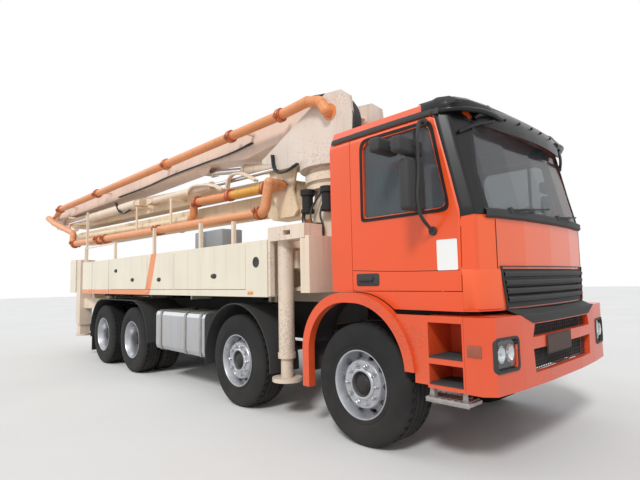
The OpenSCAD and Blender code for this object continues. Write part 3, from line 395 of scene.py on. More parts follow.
    @staticmethod
    def joined(pieces: Sequence[bpy.types.Object]) -> bpy.types.Object:
        """Joins several pieces into the first.

        Args:
            pieces: the pieces.

        Returns:
            The first piece, with the others in it.
        """
        Bench.take(pieces[0])
        for piece in pieces:
            piece.select_set(True)
        bpy.ops.object.join()
        return bpy.context.object

    @staticmethod
    def copied(piece: bpy.types.Object, move: Matrix) -> bpy.types.Object:
        """Copies a piece, with its own mesh, and moves the copy.

        Args:
            piece: the piece.
            move: the move in the shared frame.

        Returns:
            The copy.
        """
        Bench.take(piece)
        bpy.ops.object.duplicate(linked=False)
        return Bench.moved(bpy.context.object, move)

    @staticmethod
    def moved(piece: bpy.types.Object, move: Matrix) -> bpy.types.Object:
        """Moves a piece and lays its place in its mesh.

        Args:
            piece: the piece.
            move: the move in the shared frame.

        Returns:
            The same piece.
        """
        Bench.take(piece)
        piece.matrix_world = move
        bpy.ops.object.transform_apply(location=True, rotation=True, scale=True)
        if move.determinant() < 0:
            Bench.cleaned(piece)
        return piece

    @staticmethod
    def done(piece: bpy.types.Object, name: str, finish: "Finish", body: str = "chassis", slot: str = "",
             turn: float = 35.0) -> bpy.types.Object:
        """Names a piece, gives it its finish and puts it on its body.

        Args:
            piece: the piece, with its place in its mesh.
            name: its name.
            finish: the finish it wears.
            body: the moving body that it rides on.
            slot: not used.
            turn: the angle in degrees up to which neighbouring faces are shaded as one.

        Returns:
            The same piece.
        """
        Bench.take(piece)
        piece.name = piece.data.name = name
        piece.data.materials.clear()
        piece.data.materials.append(finish.material())
        bpy.ops.object.shade_smooth_by_angle(angle=math.radians(turn))
        Bench.pieces += 1
        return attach(piece, body)


def put(place: Sequence[float], degrees: float = 0.0, axis: str = "Z") -> Matrix:
    """The move to a place, turned by degrees about an axis there."""
    return Matrix.Translation(place) @ Matrix.Rotation(math.radians(degrees), 4, axis)


def rowed(piece: bpy.types.Object, count: int, step: Point) -> bpy.types.Object:
    """Repeats a piece in a row, each copy one step further on."""
    Bench.modified(piece, "ARRAY", count=count, use_relative_offset=False, use_constant_offset=True,
                   constant_offset_displace=step)
    return piece


def ringed(piece: bpy.types.Object, count: int) -> bpy.types.Object:
    """Repeats a piece round the y axis."""
    turns = [put((0.0, 0.0, 0.0), 360.0 * k / count, "Y") for k in range(1, count)]
    return Bench.joined([piece, *(Bench.copied(piece, turn) for turn in turns)])


def closed(outline: Sequence[Flat]) -> list[Flat]:
    """An outline with its first place once more at its end."""
    return [*outline, outline[0]]


def spread(half: float, steps: int) -> list[float]:
    """Even places from minus half to plus half."""
    return [(2 * k / steps - 1.0) * half for k in range(steps + 1)]


def mirrored() -> Matrix:
    """The move from one side of the truck to the other."""
    return Matrix.Scale(-1.0, 4, Vector((0.0, 1.0, 0.0)))


def grown(outline: Sequence[Flat], by: float) -> list[Flat]:
    """Moves an outline's corners away from its middle along both axes.

    Args:
        outline: the corners.
        by: how far, in metres.

    Returns:
        The moved corners.
    """
    u = sum(p[0] for p in outline) / len(outline)
    v = sum(p[1] for p in outline) / len(outline)
    return [(p[0] + math.copysign(by, p[0] - u), p[1] + math.copysign(by, p[1] - v)) for p in outline]


def softened(outline: Sequence[Flat], reach: float, steps: int = 5) -> list[Flat]:
    """Rounds an outline's corners.

    Args:
        outline: its corners, in order.
        reach: how far from a corner its curve starts.
        steps: how many steps the curve has.

    Returns:
        The new corners.
    """
    out: list[Flat] = []
    count = len(outline)
    for k, corner in enumerate(outline):
        ends = []
        for other in (outline[k - 1], outline[(k + 1) % count]):
            length = math.dist(corner, other)
            share = min(reach, length * 0.45) / length
            ends.append(tuple(c + (o - c) * share for c, o in zip(corner, other)))
        for j in range(steps + 1):
            t = j / steps
            weights = ((1 - t) ** 2, 2 * t * (1 - t), t * t)
            out.append(tuple(sum(w * q[i] for w, q in zip(weights, (ends[0], corner, ends[1])))
                             for i in (0, 1)))
    return out


def oval(u: float, v: float, ru: float, rv: float, corners: int = 24) -> list[Flat]:
    """The corners of an oval about (u, v)."""
    turns = [2 * math.pi * k / corners for k in range(corners)]
    return [(u + ru * math.cos(t), v + rv * math.sin(t)) for t in turns]


def soft_box(u: Flat, v: Flat, r: float, steps: int = 4) -> list[Flat]:
    """The corners of a rectangle with round corners of radius r.

    Args:
        u: its ends across.
        v: its ends upwards.
        r: radius of its corners.
        steps: steps in one corner.

    Returns:
        The outline.
    """
    out: list[Flat] = []
    for k, (cu, cv) in enumerate(((u[1] - r, v[1] - r), (u[0] + r, v[1] - r),
                                  (u[0] + r, v[0] + r), (u[1] - r, v[0] + r))):
        for j in range(steps + 1):
            t = math.pi / 2 * (k + j / steps)
            out.append((cu + r * math.cos(t), cv + r * math.sin(t)))
    return out


# Shared shader groups and finishes


class Weather(Enum):
    """The shared groups of dirt, wear and grain."""

    UNEVEN = "uneven_paint"
    DUST = "settled_dust"
    STREAKS = "rain_streaks"
    CHIPS = "stone_chips"
    GRAIN = "fine_grain"
    SLAB = "slab_mask"


class Groups:
    """Builds each shared shader group once and hands it out."""

    made: dict[Weather, bpy.types.ShaderNodeTree] = {}

    @classmethod
    def get(cls, kind: Weather) -> bpy.types.ShaderNodeTree:
        """Gives the group of that kind, built at its first use.

        Args:
            kind: which group.

        Returns:
            The group.
        """
        if kind not in cls.made:
            cls.made[kind] = getattr(cls, "build_" + kind.name.lower())()
        return cls.made[kind]

    @staticmethod
    def start(kind: Weather, inputs: Sequence[tuple[str, str]],
              outputs: Sequence[tuple[str, str]]) -> tuple[bpy.types.ShaderNodeTree, "Board"]:
        """Opens a new group with its sockets.

        Args:
            kind: which group it is.
            inputs: names and socket types going in.
            outputs: names and socket types coming out.

        Returns:
            The group and the board that its nodes are laid on.
        """
        tree = bpy.data.node_groups.new(kind.value, "ShaderNodeTree")
        for way, sockets in (("INPUT", inputs), ("OUTPUT", outputs)):
            for name, sort in sockets:
                tree.interface.new_socket(name=name, in_out=way, socket_type="NodeSocket" + sort)
        return tree, Board(tree)

    @classmethod
    def build_uneven(cls) -> bpy.types.ShaderNodeTree:
        """Brightness that drifts over a surface.

        Returns:
            The group.
        """
        tree, board = cls.start(Weather.UNEVEN, (("Color", "Color"), ("Amount", "Float"), ("Scale", "Float")),
                                (("Color", "Color"),))
        ins, outs = board.ends()
        noise = board.noise(ins["Scale"], 4.0)
        low = board.math("SUBTRACT", 1.0, ins["Amount"])
        high = board.math("ADD", 1.0, ins["Amount"])
        level = board.ranged(noise, 0.3, 0.7, low, high)
        board.link(board.mixed("MULTIPLY", 1.0, ins["Color"], level), outs["Color"])
        return tree

    @classmethod
    def build_dust(cls) -> bpy.types.ShaderNodeTree:
        """Road dust that lies thickest near the ground.

        Returns:
            The group.
        """
        tree, board = cls.start(
            Weather.DUST, (("Color", "Color"), ("Dust", "Color"), ("Amount", "Float"), ("Top", "Float")),
            (("Color", "Color"), ("Mask", "Float")))
        ins, outs = board.ends()
        height = board.split(board.place())[2]
        low = board.ranged(height, 0.0, ins["Top"], 1.0, 0.0)
        patches = board.ranged(board.noise(3.0, 6.0), 0.3, 0.7, 0.35, 1.0)
        mask = board.math("MULTIPLY", board.math("MULTIPLY", low, patches), ins["Amount"])
        board.link(board.mixed("MIX", mask, ins["Color"], ins["Dust"]), outs["Color"])
        board.link(mask, outs["Mask"])
        return tree

    @classmethod
    def build_streaks(cls) -> bpy.types.ShaderNodeTree:
        """Faint dirty streaks that rain has drawn down a wall.

        Returns:
            The group.
        """
        tree, board = cls.start(Weather.STREAKS, (("Color", "Color"), ("Amount", "Float")),
                                (("Color", "Color"),))
        ins, outs = board.ends()
        lines = board.noise(1.0, 5.0, stretch=(14.0, 14.0, 0.7))
        patches = board.ranged(board.noise(0.9, 3.0), 0.35, 0.65, 0.2, 1.0)
        mask = board.math("MULTIPLY", board.ranged(lines, 0.52, 0.75, 0.0, 1.0), patches)
        mask = board.math("MULTIPLY", mask, ins["Amount"])
        board.link(board.mixed("MIX", mask, ins["Color"], (0.17, 0.13, 0.09, 1.0)), outs["Color"])
        return tree

    @classmethod
    def build_chips(cls) -> bpy.types.ShaderNodeTree:
        """Small chips and rubbed spots in which the ground coat shows.

        Returns:
            The group.
        """
        tree, board = cls.start(
            Weather.CHIPS, (("Color", "Color"), ("Under", "Color"), ("Amount", "Float"), ("Scale", "Float")),
            (("Color", "Color"), ("Mask", "Float")))
        ins, outs = board.ends()
        spots = board.noise(ins["Scale"], 8.0)
        patches = board.noise(1.3, 3.0)
        both = board.math("MULTIPLY", spots, board.ranged(patches, 0.3, 0.7, 0.7, 1.25))
        mask = board.math("MULTIPLY", board.ranged(both, 0.60, 0.66, 0.0, 1.0), ins["Amount"])
        board.link(board.mixed("MIX", mask, ins["Color"], ins["Under"]), outs["Color"])
        board.link(mask, outs["Mask"])
        return tree

    @classmethod
    def build_grain(cls) -> bpy.types.ShaderNodeTree:
        """Fine unevenness as a height.

        Returns:
            The group.
        """
        tree, board = cls.start(Weather.GRAIN, (("Scale", "Float"),), (("Height", "Float"),))
        ins, outs = board.ends()
        board.link(board.noise(ins["Scale"], 3.0), outs["Height"])
        return tree

    @classmethod
    def build_slab(cls) -> bpy.types.ShaderNodeTree:
        """One where a place lies between two parallel planes, and nought elsewhere.

        Returns:
            The group.
        """
        tree, board = cls.start(Weather.SLAB, (("Direction", "Vector"), ("Low", "Float"), ("High", "Float")),
                                (("Mask", "Float"),))
        ins, outs = board.ends()
        far = board.dot(board.place(), ins["Direction"])
        above = board.math("GREATER_THAN", far, ins["Low"])
        below = board.math("LESS_THAN", far, ins["High"])
        board.link(board.math("MULTIPLY", above, below), outs["Mask"])
        return tree


class Board:
    """A node tree with short calls for the nodes that the finishes use."""

    def __init__(self, tree: bpy.types.NodeTree) -> None:
        """Takes the tree to work in."""
        self.tree = tree

    def ends(self) -> tuple[dict, dict]:
        """Adds the group's own input and output nodes and gives their sockets by name.

        Returns:
            The sockets it reads and the sockets it fills.
        """
        ins = self.tree.nodes.new("NodeGroupInput")
        outs = self.tree.nodes.new("NodeGroupOutput")
        return ({s.name: s for s in ins.outputs if s.name}, {s.name: s for s in outs.inputs if s.name})

    def link(self, source: object, target: bpy.types.NodeSocket) -> None:
        """Links a socket to an input, or sets a plain value on it.

        Args:
            source: a socket or a plain value.
            target: the input.
        """
        if isinstance(source, bpy.types.NodeSocket):
            self.tree.links.new(source, target)
        else:
            target.default_value = source

    def add(self, kind: str, **settings: object) -> bpy.types.Node:
        """Adds a node with its settings.

        Args:
            kind: the kind of node.
            **settings: its properties.

        Returns:
            The node.
        """
        node = self.tree.nodes.new("ShaderNode" + kind)
        for key, value in settings.items():
            setattr(node, key, value)
        return node

    def place(self) -> bpy.types.NodeSocket:
        """The place on the piece."""
        return self.add("TexCoord").outputs["Object"]

    def math(self, operation: str, a: object, b: object) -> bpy.types.NodeSocket:
        """Works one sum on two values.

        Args:
            operation: the sum.
            a: first value.
            b: second value.

        Returns:
            The result.
        """
        node = self.add("Math", operation=operation)
        self.link(a, node.inputs[0])
        self.link(b, node.inputs[1])
        return node.outputs[0]

    def dot(self, a: object, b: object) -> bpy.types.NodeSocket:
        """Measures how far one vector reaches along another.

        Args:
            a: first vector.
            b: second vector.

        Returns:
            The measure.
        """
        node = self.add("VectorMath", operation="DOT_PRODUCT")
        self.link(a, node.inputs[0])
        self.link(b, node.inputs[1])
        return node.outputs["Value"]

    def split(self, vector: object) -> bpy.types.NodeOutputs:
        """Splits a place into its x, y and z.

        Args:
            vector: the place.

        Returns:
            Its three sockets.
        """
        node = self.add("SeparateXYZ")
        self.link(vector, node.inputs[0])
        return node.outputs

    def noise(self, scale: object, detail: float,
              stretch: Point = (1.0, 1.0, 1.0)) -> bpy.types.NodeSocket:
        """Adds noise over the place, finer along an axis that is stretched more.

        Args:
            scale: how fine it is.
            detail: how many layers it has.
            stretch: how much finer it is along each axis.

        Returns:
            The noise.
        """
        node = self.add("TexNoise")
        mapping = self.add("Mapping")
        self.link(self.place(), mapping.inputs["Vector"])
        mapping.inputs["Scale"].default_value = stretch
        self.link(mapping.outputs[0], node.inputs["Vector"])
        self.link(scale, node.inputs["Scale"])
        node.inputs["Detail"].default_value = detail
        return node.outputs["Fac"]

    def ranged(self, value: object, low: object, high: object, to_low: object,
               to_high: object) -> bpy.types.NodeSocket:
        """Moves a value from one range to another and holds it there.

        Args:
            value: the value.
            low: low end before.
            high: high end before.
            to_low: low end after.
            to_high: high end after.

        Returns:
            The moved value.
        """
        node = self.add("MapRange")
        for socket, source in zip(node.inputs, (value, low, high, to_low, to_high)):
            self.link(source, socket)
        return node.outputs[0]

    def mixed(self, blend: str, share: object, a: object, b: object) -> bpy.types.NodeSocket:
        """Mixes two colours.

        Args:
            blend: the way of mixing.
            share: how much of the second colour.
            a: first colour.
            b: second colour.

        Returns:
            The mixed colour.
        """
        node = self.add("Mix", data_type="RGBA", blend_type=blend)
        self.link(share, node.inputs[0])
        self.link(a, node.inputs[6])
        self.link(b, node.inputs[7])
        return node.outputs[2]

    def group(self, kind: Weather, **values: object) -> bpy.types.NodeOutputs:
        """Places a shared group with its own values.

        Args:
            kind: which group.
            **values: its own values.

        Returns:
            The group's outputs.
        """
        node = self.add("Group")
        node.node_tree = Groups.get(kind)
        for name, value in values.items():
            self.link(value, node.inputs[name])
        return node.outputs


def solid(colour: Rgb) -> tuple[float, float, float, float]:
    """A colour with nothing let through."""
    return (*colour, 1.0)


@dataclass(frozen=True)
class Slab:
    """The space between two parallel planes in the shared frame."""

    direction: Point
    low: float
    high: float


@dataclass(frozen=True)
class Mark:
    """A second colour painted wherever all slabs of one zone hold."""

    colour: Rgb
    zones: tuple[tuple[Slab, ...], ...]


@dataclass(frozen=True)
class Finish:
    """How a surface looks: its colour and gloss, and the dirt and wear on it."""

    name: str
    colour: Rgb
    slot: str = "black_plastic"
    roughness: float = 0.42
    metallic: float = 0.0
    coat: float = 0.0
    specular: float = 0.5
    uneven: float = 0.05
    uneven_scale: float = 1.6
    dust: float = 0.25
    dust_top: float = 1.4
    dust_colour: Rgb = (0.30, 0.26, 0.21)
    streaks: float = 0.0
    chips: float = 0.0
    chip_colour: Rgb = (0.13, 0.07, 0.04)
    chip_scale: float = 26.0
    grain: float = 0.0
    grain_scale: float = 260.0
    marks: tuple[Mark, ...] = ()

    def material(self) -> bpy.types.Material:
        """Gives the finish's material, built at its first use."""
        found = bpy.data.materials.get(self.name)
        return found if found is not None else self.built()

    def built(self) -> bpy.types.Material:
        """Builds the material from the shared groups.

        Returns:
            The material.
        """
        material = bpy.data.materials.new(self.name)
        material.use_nodes = True
        board = Board(material.node_tree)
        shader = material.node_tree.nodes["Principled BSDF"]
        colour: object = solid(self.colour)
        for mark in self.marks:
            colour = board.mixed("MIX", self.painted(board, mark), colour, solid(mark.colour))
        colour = board.group(Weather.UNEVEN, Color=colour, Amount=self.uneven, Scale=self.uneven_scale)[0]
        if self.chips:
            colour = board.group(Weather.CHIPS, Color=colour, Under=solid(self.chip_colour),
                                 Amount=self.chips, Scale=self.chip_scale)[0]
        if self.streaks:
            colour = board.group(Weather.STREAKS, Color=colour, Amount=self.streaks)[0]
        dusty = board.group(Weather.DUST, Color=colour, Dust=solid(self.dust_colour), Amount=self.dust,
                            Top=self.dust_top)
        board.link(dusty[0], shader.inputs["Base Color"])
        rough = board.ranged(dusty[1], 0.0, 1.0, self.roughness, min(1.0, self.roughness + 0.4))
        board.link(rough, shader.inputs["Roughness"])
        shader.inputs["Metallic"].default_value = self.metallic
        shader.inputs["Coat Weight"].default_value = self.coat
        shader.inputs["Specular IOR Level"].default_value = self.specular
        if self.grain:
            bump = board.add("Bump")
            bump.inputs["Strength"].default_value = self.grain
            bump.inputs["Distance"].default_value = 0.002
            board.link(board.group(Weather.GRAIN, Scale=self.grain_scale)[0], bump.inputs["Height"])
            board.link(bump.outputs[0], shader.inputs["Normal"])
        return material

    @staticmethod
    def painted(board: Board, mark: Mark) -> bpy.types.NodeSocket:
        """Works out where a mark is painted.

        Args:
            board: the material's board.
            mark: the mark.

        Returns:
            A mask that is one on the mark.
        """
        total: object = 0.0
        for zone in mark.zones:
            part: object = 1.0
            for slab in zone:
                mask = board.group(Weather.SLAB, Direction=slab.direction, Low=slab.low, High=slab.high)[0]
                part = board.math("MULTIPLY", part, mask)
            total = board.math("MAXIMUM", total, part)
        return total


@dataclass(frozen=True)
class GlassFinish(Finish):
    """Clear or tinted glass with a little dust on it."""

    ior: float = 1.45

    def built(self) -> bpy.types.Material:
        """Builds the glass.

        Returns:
            The material.
        """
        material = bpy.data.materials.new(self.name)
        material.use_nodes = True
        board = Board(material.node_tree)
        shader = material.node_tree.nodes["Principled BSDF"]
        colour = board.group(Weather.UNEVEN, Color=solid(self.colour), Amount=self.uneven, Scale=2.0)[0]
        board.link(colour, shader.inputs["Base Color"])
        film = board.ranged(board.noise(7.0, 5.0), 0.35, 0.75, self.roughness, self.roughness + 0.06)
        board.link(film, shader.inputs["Roughness"])
        shader.inputs["Transmission Weight"].default_value = 1.0
        shader.inputs["IOR"].default_value = self.ior
        return material


def lane_slab(low: float, high: float) -> Slab:
    """A slab between two lanes of the folded boom."""
    shift = -math.sin(BOOM_YAW) * SLEW_AXIS
    return Slab((-math.sin(BOOM_YAW), math.cos(BOOM_YAW), 0.0), low + shift, high + shift)


def boom_slab(low: float, high: float) -> Slab:
    """A slab between two places along the folded boom."""
    shift = math.cos(BOOM_YAW) * SLEW_AXIS
    return Slab((math.cos(BOOM_YAW), math.sin(BOOM_YAW), 0.0), low + shift, high + shift)


ALONG: Point = (1.0, 0.0, 0.0)
ACROSS: Point = (0.0, 1.0, 0.0)
UP: Point = (0.0, 0.0, 1.0)
ARM_2_FACE = lane_slab(-2.0, -0.39)
ARM_3_FACE = lane_slab(-2.0, -0.228)
ORANGE_STRIPE: Rgb = (0.78, 0.25, 0.09)
PIPE_ORANGE: Rgb = (0.72, 0.27, 0.10)
BOOM_RUST: Rgb = (0.26, 0.13, 0.07)
LEG_RUST: Rgb = (0.26, 0.13, 0.08)


def stripe_zones() -> tuple[tuple[Slab, ...], ...]:
    """The orange band along the lockers' foot and the slanted one at its front end.

    Returns:
        The zones, each as its slabs.
    """
    wall, lean = Slab(ACROSS, -1.30, -1.20), 0.379
    low = (Slab(UP, 1.20, 1.372), Slab(ALONG, FRONT_AXLE - 7.605, FRONT_AXLE - 4.36), wall)
    middle = FRONT_AXLE - 4.41 - lean * 1.31
    slant = (Slab((1.0, 0.0, -lean), middle - 0.10, middle + 0.10), Slab(UP, 1.30, 1.93), wall)
    return (low, slant)


class Finishes:
    """Every finish of the truck."""

    cab = Finish("cab_orange", (0.78, 0.080, 0.010), roughness=0.30, coat=0.35, uneven=0.03, dust=0.10,
                 dust_top=1.4, chips=0.1, chip_scale=90.0)
    # The nose wears a lighter, yellower copy of the cab's one orange paint: painted light on the front that
    # faces the sun.
    front = Finish("nose_orange", (0.82, 0.105, 0.018), "cab_paint", roughness=0.32, coat=0.35, uneven=0.03,
                   dust=0.08,
                   dust_top=1.4, chips=0.1, chip_scale=90.0)
    # The bumper and the fenders wear darker copies of the same orange paint: painted shade low on the front
    # and sides.
    bumper = Finish("bumper_orange", (0.72, 0.070, 0.011), roughness=0.36, coat=0.3, uneven=0.04, dust=0.16,
                    chips=0.3, chip_scale=80.0)
    fender = Finish("fender_orange", (0.74, 0.075, 0.011), roughness=0.38, coat=0.3, uneven=0.04, dust=0.18,
                    chips=0.3, chip_scale=80.0,
                    marks=(Mark((0.34, 0.30, 0.29),
                                ((Slab(UP, 0.0, 0.615), Slab(ALONG, FRONT_AXLE + 0.69, 9.0)),)),
                           Mark((0.012, 0.012, 0.013), ((Slab(ACROSS, -1.163, 1.163),
                                                         Slab(ALONG, -9.0, FRONT_AXLE + 0.40)),))))
    cream = Finish("boom_cream", (0.76, 0.62, 0.48), roughness=0.45, uneven=0.06, dust=0.12, dust_top=2.2,
                   streaks=0.35, chips=0.30, chip_colour=BOOM_RUST, chip_scale=55.0)
    locker = Finish("locker_cream", (0.75, 0.68, 0.54), roughness=0.38, coat=0.2, uneven=0.03, dust=0.15,
                    streaks=0.18, chips=0.12, chip_colour=(0.24, 0.14, 0.08), chip_scale=80.0,
                    marks=(Mark(ORANGE_STRIPE, stripe_zones()),))
    # arm_1 wears the boom cream tinted pink as it looks in shade: a painted shade tint.
    arm_1 = Finish("arm_1_paint", (0.78, 0.60, 0.49), roughness=0.45, uneven=0.06, streaks=0.3, chips=0.25,
                   chip_colour=BOOM_RUST, chip_scale=55.0,
                   marks=(Mark(PIPE_ORANGE, ((lane_slab(-2.0, -0.352),),)),))
    # arm_2 wears a yellower copy of the same cream as it looks in sunlight: a painted light tint.
    arm_2 = replace(arm_1, name="arm_2_paint", colour=(0.78, 0.61, 0.43), marks=(
        Mark((0.73, 0.31, 0.14), ((ARM_2_FACE, Slab(UP, 0.0, 2.47)), (ARM_2_FACE, boom_slab(-12.0, -7.45)),
                                  (ARM_2_FACE, boom_slab(-1.05, 1.0)))),))
    # arm_3 also wears the yellower, sunlit copy of the boom cream: painted light.
    arm_3 = replace(arm_1, name="arm_3_paint", colour=(0.78, 0.62, 0.42), marks=(
        Mark(PIPE_ORANGE, ((ARM_3_FACE, boom_slab(-3.11, 1.0)),)),
        Mark((0.74, 0.36, 0.05), ((ARM_3_FACE, boom_slab(-1.86, -1.05)),))))
    arm_4 = replace(arm_1, name="arm_4_paint", colour=(0.77, 0.62, 0.48),
                    marks=(Mark(PIPE_ORANGE, ((lane_slab(0.485, 2.0),),)),))
    turret = Finish("turret_paint", (0.68, 0.58, 0.50), "cream_paint", roughness=0.5, uneven=0.08,
                    streaks=0.4, chips=0.35,
                    chip_colour=LEG_RUST, chip_scale=55.0, dust=0.12, dust_top=3.2)
    leg = Finish("leg_paint", (0.73, 0.60, 0.48), "cream_paint", roughness=0.48, uneven=0.08, streaks=0.4,
                 chips=0.3,
                 chip_colour=LEG_RUST, chip_scale=50.0, dust=0.2)
    coupling = Finish("coupling_brown", (0.40, 0.09, 0.035), "orange_paint", roughness=0.55, uneven=0.15,
                      uneven_scale=9.0,
                      chips=0.7, grain=0.4)
    grate = Finish("grate_orange", (0.60, 0.16, 0.05), roughness=0.6, uneven=0.12, chips=0.9, streaks=0.5)
    frame_black = Finish("frame_black", (0.018, 0.017, 0.017), "frame_paint", roughness=0.65, specular=0.3,
                         uneven=0.12,
                         dust=0.12, dust_top=1.6, grain=0.25)
    iron = Finish("engine_iron", (0.06, 0.06, 0.062), roughness=0.6, metallic=0.4, uneven=0.15, dust=0.2,
                  grain=0.6, grain_scale=120.0)
    concrete_worn = Finish("worn_iron", (0.23, 0.21, 0.19), roughness=0.8, metallic=0.3, uneven=0.2, dust=0.5,
                           grain=0.8, grain_scale=90.0)
    rubber = Finish("tyre_rubber", (0.014, 0.014, 0.015), "tyre", roughness=0.80, specular=0.25, uneven=0.15,
                    uneven_scale=6.0, dust=0.08, dust_top=1.2, grain=0.3)
    # Near-black rubber of the seals; the door's crease line also wears it as painted shade.
    seal = Finish("seal_rubber", (0.008, 0.008, 0.009), roughness=0.6, specular=0.3, uneven=0.1, dust=0.04,
                  grain=0.2)
    plastic = Finish("black_plastic", (0.010, 0.010, 0.011), roughness=0.5, specular=0.3, uneven=0.08,
                     dust=0.06, grain=0.35, grain_scale=420.0)
    gloss_black = Finish("gloss_black", (0.008, 0.008, 0.009), roughness=0.3, specular=0.35, uneven=0.05,
                         dust=0.04)
    visor = Finish("visor_smoke", (0.014, 0.014, 0.016), roughness=0.3, specular=0.35, uneven=0.06, dust=0.04)
    trim = Finish("cab_trim", (0.16, 0.17, 0.18), roughness=0.7, uneven=0.08, dust=0.1, grain=0.4)
    aluminium = Finish("tank_aluminium", (0.52, 0.53, 0.55), roughness=0.34, metallic=0.85, uneven=0.06,
                       dust=0.35, dust_top=1.3, streaks=0.2, grain=0.15, grain_scale=60.0)
    rim = Finish("rim_silver", (0.50, 0.51, 0.54), "tyre", roughness=0.30, metallic=0.85, uneven=0.10,
                 uneven_scale=8.0,
                 dust=0.15, dust_top=1.2, chips=0.15, chip_scale=60.0)
    hub_dark = Finish("hub_grease", (0.018, 0.017, 0.017), "tyre", roughness=0.55, specular=0.3, uneven=0.2,
                      dust=0.1,
                      grain=0.5)
    chrome = Finish("rod_chrome", (0.62, 0.63, 0.65), roughness=0.12, metallic=1.0, uneven=0.04, dust=0.1)
    zinc = Finish("galvanised", (0.38, 0.36, 0.35), "aluminium", roughness=0.5, metallic=0.7, uneven=0.14,
                  uneven_scale=20.0,
                  dust=0.3, grain=0.3, grain_scale=80.0)
    hose = Finish("hose_rubber", (0.013, 0.013, 0.014), roughness=0.45, uneven=0.1, dust=0.1, dust_top=3.0,
                  grain=0.25)
    grey_box = Finish("deck_box_grey", (0.25, 0.26, 0.27), "frame_paint", roughness=0.5, uneven=0.08,
                      dust=0.2, dust_top=2.6)
    sticker = Finish("blank_sticker", (0.82, 0.82, 0.80), "cab_paint", roughness=0.4, uneven=0.03, dust=0.2,
                     dust_top=2.0)
    red_lamp = Finish("red_lens", (0.45, 0.02, 0.015), "cab_paint", roughness=0.18, coat=0.6, uneven=0.08,
                      uneven_scale=30.0)
    dark_amber = Finish("marker_lens", (0.30, 0.055, 0.02), "cab_paint", roughness=0.2, coat=0.5, uneven=0.08,
                        uneven_scale=30.0)
    plate_brown = Finish("plate_holder_brown", (0.045, 0.016, 0.011), roughness=0.6, uneven=0.12, dust=0.15,
                         grain=0.3)
    amber_lamp = Finish("amber_lens", (0.80, 0.25, 0.03), "cab_paint", roughness=0.18, coat=0.6, uneven=0.08,
                        uneven_scale=30.0)
    reflector = Finish("lamp_reflector", (0.75, 0.76, 0.78), "chrome_rod", roughness=0.14, metallic=1.0,
                       uneven=0.05,
                       dust=0.05, grain=0.4, grain_scale=60.0)
    glass = GlassFinish("tinted_glass", (0.66, 0.78, 0.84), roughness=0.01, uneven=0.03, ior=1.75)
    lens = GlassFinish("lamp_lens", (0.90, 0.93, 0.95), "tinted_glass", roughness=0.02, uneven=0.02)
    mirror = Finish("mirror_glass", (0.75, 0.77, 0.79), roughness=0.05, metallic=1.0, uneven=0.03, dust=0.05)
    floor = Finish("pale_floor", (0.74, 0.735, 0.72), roughness=0.85, uneven=0.03, uneven_scale=0.4, dust=0.0)


NODE_FINISH: dict[str, Finish] = {
    "chassis_frame": Finishes.frame_black, "engine": Finishes.iron, "axles": Finishes.frame_black,
    "cab_shell": Finishes.cab, "door_right": Finishes.cab, "door_left": Finishes.cab,
    "cab_front": Finishes.front, "grille": Finishes.plastic, "windscreen": Finishes.glass,
    "door_glass_right": Finishes.glass, "door_glass_left": Finishes.glass,
    "cab_interior": Finishes.trim, "bumper": Finishes.bumper, "fenders": Finishes.fender,
    "side_tanks": Finishes.aluminium, "mudguards": Finishes.plastic, "body": Finishes.locker,
    "railings": Finishes.cream, "pedestal": Finishes.cream, "turret": Finishes.turret,
    "arm_1": Finishes.arm_1, "arm_2": Finishes.arm_2, "arm_3": Finishes.arm_3, "arm_4": Finishes.arm_4,
    "hopper": Finishes.cream, "hopper_grate": Finishes.grate, "agitator": Finishes.concrete_worn,
    "pump_unit": Finishes.frame_black,
}
NODE_PREFIX_FINISH: dict[str, Finish] = {
    "knuckle_barrel": Finishes.cream, "lift_barrel": Finishes.cream, "knuckle_rod": Finishes.chrome,
    "lift_rod": Finishes.chrome, "knuckle_": Finishes.frame_black, "wheel_": Finishes.rubber,
    "mirror_": Finishes.plastic, "sun_visor": Finishes.visor, "flap_": Finishes.locker,
    "outrigger_": Finishes.leg,
}


def dress_nodes() -> int:
    """Gives every CAD node its finish.

    Returns:
        How many nodes were dressed.
    """
    for name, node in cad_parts.items():
        finish = NODE_FINISH.get(name)
        if finish is None:
            finish = next(f for start, f in NODE_PREFIX_FINISH.items() if name.startswith(start))
        if not node.material_slots:
            node.data.materials.append(finish.material())
        for slot in node.material_slots:
            slot.material = finish.material()
    return len(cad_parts)


# The running gear


